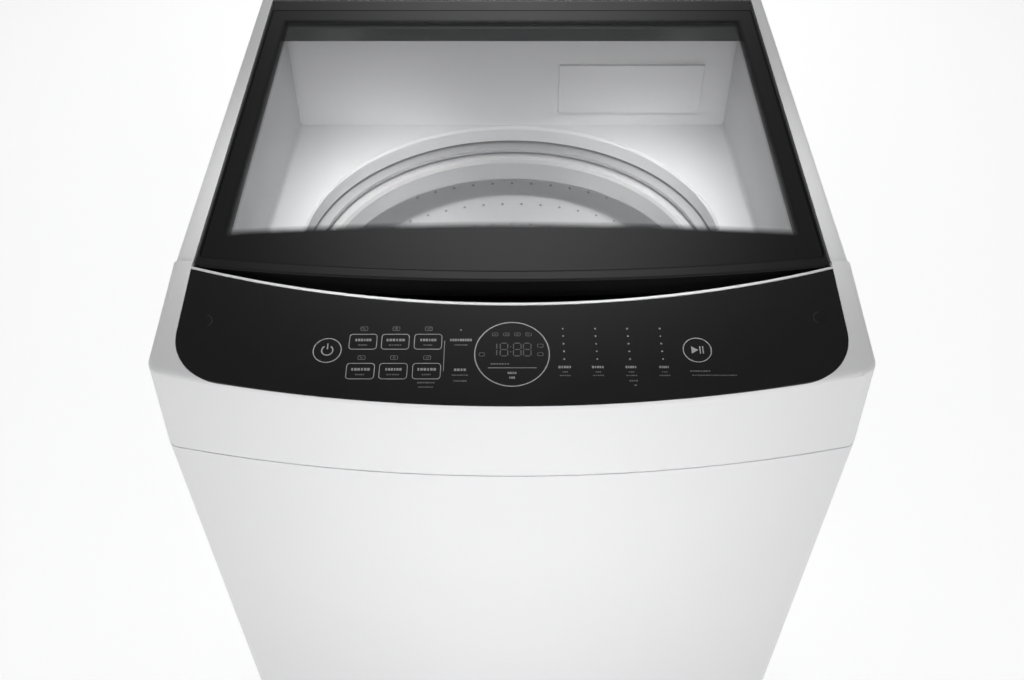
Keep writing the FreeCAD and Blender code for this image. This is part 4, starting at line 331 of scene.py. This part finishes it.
class PanelLayer:
    """One layer of the panel, print or painted shade and highlight, collected as flat closed shapes and made
    into thin solids.
    """

    def __init__(self, name, material):
        self.name = name
        self.material = material
        self.mesh = bmesh.new()

    def lifted(self, points, lift):
        return [self.mesh.verts.new(on_panel(x, y, lift)) for x, y in points]

    def polygon(self, points):
        bottom = self.lifted(points, LAYER_UNDER)
        top = self.lifted(points, LAYER_TOP)
        self.mesh.faces.new(top)
        self.mesh.faces.new(bottom[::-1])
        for i in range(len(points)):
            j = (i + 1) % len(points)
            self.mesh.faces.new((bottom[i], bottom[j], top[j], top[i]))

    def bar(self, x, y, width, height):
        self.polygon([(x - width / 2, y - height / 2), (x + width / 2, y - height / 2),
                      (x + width / 2, y + height / 2), (x - width / 2, y + height / 2)])

    def dot(self, x, y, radius, sides=DOT_SIDES):
        self.polygon(arc_points(x, y, radius, full_turn(sides)))

    def band(self, outer, inner):
        """Closed outline between two loops of the same number of points."""
        outer_low, outer_top = self.lifted(outer, LAYER_UNDER), self.lifted(outer, LAYER_TOP)
        inner_low, inner_top = self.lifted(inner, LAYER_UNDER), self.lifted(inner, LAYER_TOP)
        for i in range(len(outer)):
            j = (i + 1) % len(outer)
            self.mesh.faces.new((outer_top[i], outer_top[j], inner_top[j], inner_top[i]))
            self.mesh.faces.new((outer_low[j], outer_low[i], inner_low[i], inner_low[j]))
            self.mesh.faces.new((outer_low[i], outer_low[j], outer_top[j], outer_top[i]))
            self.mesh.faces.new((inner_low[j], inner_low[i], inner_top[i], inner_top[j]))

    def ring(self, x, y, radius, line):
        self.band(arc_points(x, y, radius + line / 2, full_turn(RING_SIDES)),
                  arc_points(x, y, radius - line / 2, full_turn(RING_SIDES)))

    def frame(self, x, y, width, height, radius, line):
        """Rounded rectangle outline."""
        loops = []
        for grow in (line / 2, -line / 2):
            points = []
            for right, up, start in ((1, 1, 0), (-1, 1, 90), (-1, -1, 180), (1, -1, 270)):
                angles = [math.radians(start + 90 * step / CORNER_STEPS) for step in range(CORNER_STEPS + 1)]
                points += arc_points(x + right * (width / 2 - radius), y + up * (height / 2 - radius),
                                     radius + grow, angles)
            loops.append(points)
        self.band(*loops)

    def small_print(self, x, y, width, height, pieces):
        """A row of short bars that stands for a line of small print."""
        step = width / pieces
        for i in range(pieces):
            share = 0.78 if (i * 7 + pieces) % 3 else 0.55
            self.bar(x - width / 2 + step * (i + 0.5), y, step * share, height)

    def make(self):
        data = bpy.data.meshes.new(self.name)
        self.mesh.to_mesh(data)
        self.mesh.free()
        data.materials.append(self.material)
        piece = new_piece(self.name, data)
        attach(piece, "cabinet")


def ink_or_painted_light(name, brightness, roughness, variation=0.10, grain=2500):
    return finish_material(name, grey(brightness), roughness, variation, spread=0.05, grain=grain,
                           depth=10 * MICRON)


outlines = PanelLayer("panel_outlines", ink_or_painted_light("ink_light_grey", 0.40, 0.45, variation=0.08))
labels = PanelLayer("panel_labels", ink_or_painted_light("ink_mid_grey", 0.30, 0.5))
faint = PanelLayer("panel_faint_marks", ink_or_painted_light("ink_dim_grey", 0.13, 0.5))
# painted shade: a darker disc where each shallow dimple lies in shade
dimple_shade = PanelLayer("panel_dimple_painted_shade", ink_or_painted_light("dimple_painted_shade", 0.0025, 0.35, grain=1500))
# painted highlight: a lighter crescent on the lit inner edge of each dimple
dimple_highlights = PanelLayer("panel_dimple_painted_highlights", ink_or_painted_light("dimple_painted_highlight", 0.028, 0.35, grain=1500))


# ---------------------------------------------------------------- printed panel: what it shows, in mm
ROUND_KEY_RADIUS = 11.2
ROUND_KEY_LINE = 0.75
POWER_CENTRE = (-147.8, 51.6)
POWER_OUTER = 4.9
POWER_LINE = 0.9
POWER_BAR_RISE = 3.8
POWER_BAR_HEIGHT = 5.4
POWER_ARC = [math.radians(125 + 290 * i / 40) for i in range(41)]


def print_power_key():
    x, y = POWER_CENTRE
    outlines.ring(x, y, ROUND_KEY_RADIUS, ROUND_KEY_LINE)
    outlines.polygon(arc_points(x, y, POWER_OUTER, POWER_ARC)
                     + arc_points(x, y, POWER_OUTER - POWER_LINE, POWER_ARC[::-1]))
    outlines.bar(x, y + POWER_BAR_RISE, POWER_LINE, POWER_BAR_HEIGHT)


START_CENTRE = (148.2, 52.0)
TRIANGLE_BACK = 4.6
TRIANGLE_TIP = 0.9
START_HALF_HEIGHT = 3.4
PAUSE_BARS = (2.3, 4.6)
PAUSE_WIDTH = 0.9


def print_start_key():
    x, y = START_CENTRE
    outlines.ring(x, y, ROUND_KEY_RADIUS, ROUND_KEY_LINE)
    outlines.polygon([(x - TRIANGLE_BACK, y - START_HALF_HEIGHT), (x + TRIANGLE_TIP, y),
                      (x - TRIANGLE_BACK, y + START_HALF_HEIGHT)])
    for across in PAUSE_BARS:
        outlines.bar(x + across, y, PAUSE_WIDTH, 2 * START_HALF_HEIGHT)


KEY_COLUMNS = (-119.8, -93.8, -67.5)
KEY_ROWS = (59.8, 32.4)
KEY_WIDTH = 22.0
KEY_HEIGHT = 14.2
KEY_CORNER = 2.6
KEY_LINE = 0.55
PICTURE_RISE = 12.4         # small picture above each key
DIVIDER = (-54.2, 46.5, 0.55, 28.5)


def print_programme_key(x, y, row, column):
    outlines.frame(x, y, KEY_WIDTH, KEY_HEIGHT, KEY_CORNER, KEY_LINE)
    labels.small_print(x, y + 1.6, 13.5 + 2.0 * ((row + column) % 2), 2.3, 6)
    faint.small_print(x, y - 3.2, 7.5 + 3.0 * (column % 2), 1.1, 5)
    picture_y = y + PICTURE_RISE
    faint.frame(x, picture_y, 5.6, 3.6, 0.9, 0.5)
    faint.bar(x, picture_y - 0.2, 2.6, 0.6)
    faint.bar(x - 1.2 + 1.2 * column, picture_y + 0.9, 0.7, 0.7)


def print_programme_keys():
    for row, y in enumerate(KEY_ROWS):
        for column, x in enumerate(KEY_COLUMNS):
            print_programme_key(x, y, row, column)
    faint.small_print(KEY_COLUMNS[-1], 21.9, 14.0, 1.3, 7)
    faint.small_print(KEY_COLUMNS[-1], 17.9, 12.0, 1.0, 7)
    labels.bar(*DIVIDER)


def print_option_keys():
    """Two touch keys between the programmes and the display: a lamp and their lines of print."""
    labels.dot(-41.3, 71.0, 0.7)
    labels.small_print(-41.2, 61.4, 18.0, 2.2, 9)
    faint.small_print(-41.2, 56.7, 11.0, 1.1, 6)
    labels.small_print(-41.1, 33.6, 10.0, 2.2, 4)
    faint.small_print(-41.1, 28.7, 13.0, 1.1, 7)
    faint.small_print(-41.0, 23.4, 11.0, 1.3, 6)


DISPLAY_CENTRE = (0.0, 48.5)
DISPLAY_RADIUS = 29.8
DISPLAY_LINE = 0.85
FIGURE_Y = 52.4
FIGURE_HEIGHT = 12.0
FIGURE_WIDTH = 6.0
FIGURE_PLACES = (-6.4, 4.2, 12.2)
SEGMENT_LINE = 0.75
FIGURE_SEGMENTS = (         # across, up, and whether the segment lies flat
    (0, 1, 1), (0, 0, 1), (0, -1, 1), (-1, 0.5, 0), (1, 0.5, 0), (-1, -0.5, 0), (1, -0.5, 0))
ONE_SEGMENTS = (4, 6)       # the upright segments of a figure one
COLON_X = -1.1
COLON_PLACES = (55.0, 50.2)
SIGN_COLUMN = -13.6
SIGN_PITCH = 9.0
SIGN_ROW = 66.8
SIDE_SIGNS = ((-24.1, 47.8), (22.7, 56.0), (22.7, 48.0))


def figure(x, width, used=range(7)):
    """Seven-segment figure drawn as thin unlit segments."""
    for index in used:
        across, up, flat = FIGURE_SEGMENTS[index]
        y = FIGURE_Y + up * FIGURE_HEIGHT / 2
        if flat:
            faint.bar(x, y, width * 0.72, SEGMENT_LINE)
        else:
            faint.bar(x + across * width / 2, y, SEGMENT_LINE, FIGURE_HEIGHT * 0.40)


def print_display():
    outlines.ring(*DISPLAY_CENTRE, DISPLAY_RADIUS, DISPLAY_LINE)
    figure(-12.2, 0.0, ONE_SEGMENTS)
    for x in FIGURE_PLACES:
        figure(x, FIGURE_WIDTH)
    for y in COLON_PLACES:
        faint.dot(COLON_X, y, 0.5)
    for i in range(4):
        faint.frame(SIGN_COLUMN + SIGN_PITCH * i, SIGN_ROW, 4.6, 2.8, 0.8, 0.45)
        faint.bar(SIGN_COLUMN + SIGN_PITCH * i, SIGN_ROW, 1.8, 0.5)
    for x, y in SIDE_SIGNS:
        faint.frame(x, y, 4.4, 3.0, 0.9, 0.45)
    faint.small_print(-9.6, 39.0, 15.0, 1.3, 7)
    labels.bar(0.3, 35.4, 38.5, 0.5)
    labels.small_print(0.0, 30.7, 7.2, 1.9, 4)
    labels.small_print(0.0, 26.4, 5.0, 1.9, 3)


LAMP_COLUMNS = (41.2, 67.4, 93.5, 119.7)
LAMP_TOP = 72.3
LAMP_PITCH = 7.2
LAMP_RADIUS = 0.75


def print_level_lamps():
    """Four columns of five lamps with their lines of print, and the note under the start key."""
    for column, x in enumerate(LAMP_COLUMNS):
        for i in range(5):
            labels.dot(x + 0.1 * i, LAMP_TOP - LAMP_PITCH * i, LAMP_RADIUS)
        labels.small_print(x + 0.6, 36.1, 10.5 - 0.8 * column, 2.1, 5)
        faint.small_print(x + 0.6, 31.6, 5.0, 1.0, 3)
        faint.small_print(x + 0.8, 28.4, 9.0, 1.0, 5)
    faint.small_print(LAMP_COLUMNS[2] + 1.8, 23.6, 7.0, 1.4, 4)
    faint.bar(LAMP_COLUMNS[2] + 3.2, 19.6, 2.0, 1.2)
    faint.small_print(148.5, 32.4, 16.5, 1.3, 8)
    faint.small_print(159.5, 28.6, 36.0, 1.0, 17)


DIMPLE_PLACES = ((-250.7, 79.8), (252.5, 82.8))
DIMPLE_RADIUS = 5.4
DIMPLE_SIDES = 40
# size and sweep of the painted highlight crescent beside each dimple
CRESCENT_INNER = DIMPLE_RADIUS + 0.1
CRESCENT_OUTER = DIMPLE_RADIUS + 0.9
CRESCENT_ARC = [math.radians(-60 + 10 * i) for i in range(15)]


def paint_dimple_shade_and_highlights():
    """A darker disc in each rear corner of the panel as the painted shade of a shallow dimple, with a
    painted highlight crescent on its inner side.
    """
    for x, y in DIMPLE_PLACES:
        dimple_shade.dot(x, y, DIMPLE_RADIUS, DIMPLE_SIDES)
        inward = -math.copysign(1.0, x)
        outer = [(x + inward * CRESCENT_OUTER * math.cos(a), y + CRESCENT_OUTER * math.sin(a))
                 for a in CRESCENT_ARC]
        inner = [(x + inward * CRESCENT_INNER * math.cos(a), y + CRESCENT_INNER * math.sin(a))
                 for a in reversed(CRESCENT_ARC)]
        dimple_highlights.polygon(outer + inner)


print_power_key()
print_start_key()
print_programme_keys()
print_option_keys()
print_display()
print_level_lamps()
paint_dimple_shade_and_highlights()
for layer in (outlines, labels, faint, dimple_shade, dimple_highlights):
    layer.make()


# ---------------------------------------------------------------- floor, surroundings and lights
FLOOR_SIZE = 120.0          # metres, so that its edge lies past every view
FLOOR_GLOW = 0.56           # keeps the floor near white without more light on the object
WORLD_RADIANCE = 0.17
PATCH_RADIANCE = 0.90
HORIZON_RADIANCE = 0.44


def pale_floor():
    bpy.ops.mesh.primitive_plane_add(size=FLOOR_SIZE, location=(0, 0, 0))
    floor = bpy.context.object
    floor.name = "floor"
    pale = finish_material("pale_floor", grey(0.95), 0.85, variation=0.004, spread=0.04,
                           grain=60, depth=20 * MICRON)
    shader = pale.node_tree.nodes["Principled BSDF"]
    shader.inputs["Emission Color"].default_value = (1, 1, 1, 1)
    shader.inputs["Emission Strength"].default_value = FLOOR_GLOW
    floor.data.materials.append(pale)


def studio_world():
    """Even grey surroundings with a lighter horizon and one soft bright patch up behind the machine."""
    world = bpy.data.worlds.new("studio")
    world.use_nodes = True
    tree = world.node_tree
    separate = tree.nodes.new("ShaderNodeSeparateXYZ")
    tree.links.new(tree.nodes.new("ShaderNodeTexCoord").outputs["Generated"], separate.inputs["Vector"])
    x, y, z = (separate.outputs[axis] for axis in "XYZ")
    patch = math_node(tree, "MULTIPLY", smooth(tree, math_node(tree, "ABSOLUTE", x), 0.30, 0.0, 1.0),
                      smooth(tree, y, 0.24, 0.44, 1.0))
    patch = math_node(tree, "MULTIPLY", patch, smooth(tree, z, 0.0, 0.3, 1.0))
    strength = math_node(tree, "ADD", math_node(tree, "MULTIPLY", patch, PATCH_RADIANCE), WORLD_RADIANCE)
    strength = math_node(tree, "ADD", strength, smooth(tree, z, 0.30, 0.04, HORIZON_RADIANCE))
    background = tree.nodes["Background"]
    background.inputs["Color"].default_value = (1, 1, 1, 1)
    tree.links.new(strength, background.inputs["Strength"])
    bpy.context.scene.world = world


def area_light(name, location, target, size, watts, spread=180.0):
    """Rectangular light of the given width and height, which shines from location towards target."""
    data = bpy.data.lights.new(name, "AREA")
    data.shape = "RECTANGLE"
    data.size, data.size_y = size
    data.energy = watts
    data.spread = math.radians(spread)
    lamp = bpy.data.objects.new(name, data)
    lamp.location = location
    lamp.rotation_euler = (Vector(target) - Vector(location)).to_track_quat("-Z", "Y").to_euler()
    lamp.visible_glossy = False
    bpy.context.scene.collection.objects.link(lamp)


pale_floor()
studio_world()
bpy.context.scene.view_settings.view_transform = "Standard"
area_light("overhead_soft", (0, 0.3, 3.6), (0, 0, 0.9), (2.4, 2.4), 15)
area_light("front_key", (0, -2.4, 1.5), (0, -0.3, 0.70), (0.4, 0.8), 0.80, spread=24)
for side, word in ((-1, "left"), (1, "right")):
    area_light("well_key_" + word, (0.09 * side, -1.1, 2.3), (0.12 * side, 0.06, 0.76), (0.18, 0.18), 0.31,
               spread=9.5)
area_light("rear_fill", (0, 3.4, 2.2), (0, 0, 0.6), (2.2, 2.2), 20)


# ---------------------------------------------------------------- camera
CAMERA_AHEAD = 483.2 * MM       # camera's distance in front of the machine
CAMERA_ABOVE_SEAM = 603.8 * MM
SEAM_RISE = 9 * MM              # seam above the front cover's lowest point
CAMERA_PITCH = 43.0             # degrees below the horizontal
FOCAL_LENGTH = 32.58633
SENSOR_WIDTH = 36.0


def place_camera():
    data = bpy.data.cameras.new("camera")
    data.sensor_width = SENSOR_WIDTH
    data.lens = FOCAL_LENGTH
    data.clip_start = 0.01
    camera = bpy.data.objects.new("camera", data)
    seam_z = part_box("front_cover")[0].z + SEAM_RISE
    camera.location = (0, cad_box[0][1] - CAMERA_AHEAD, seam_z + CAMERA_ABOVE_SEAM)
    camera.rotation_euler = (math.radians(90 - CAMERA_PITCH), 0, 0)
    bpy.context.scene.collection.objects.link(camera)
    bpy.context.scene.camera = camera


place_camera()
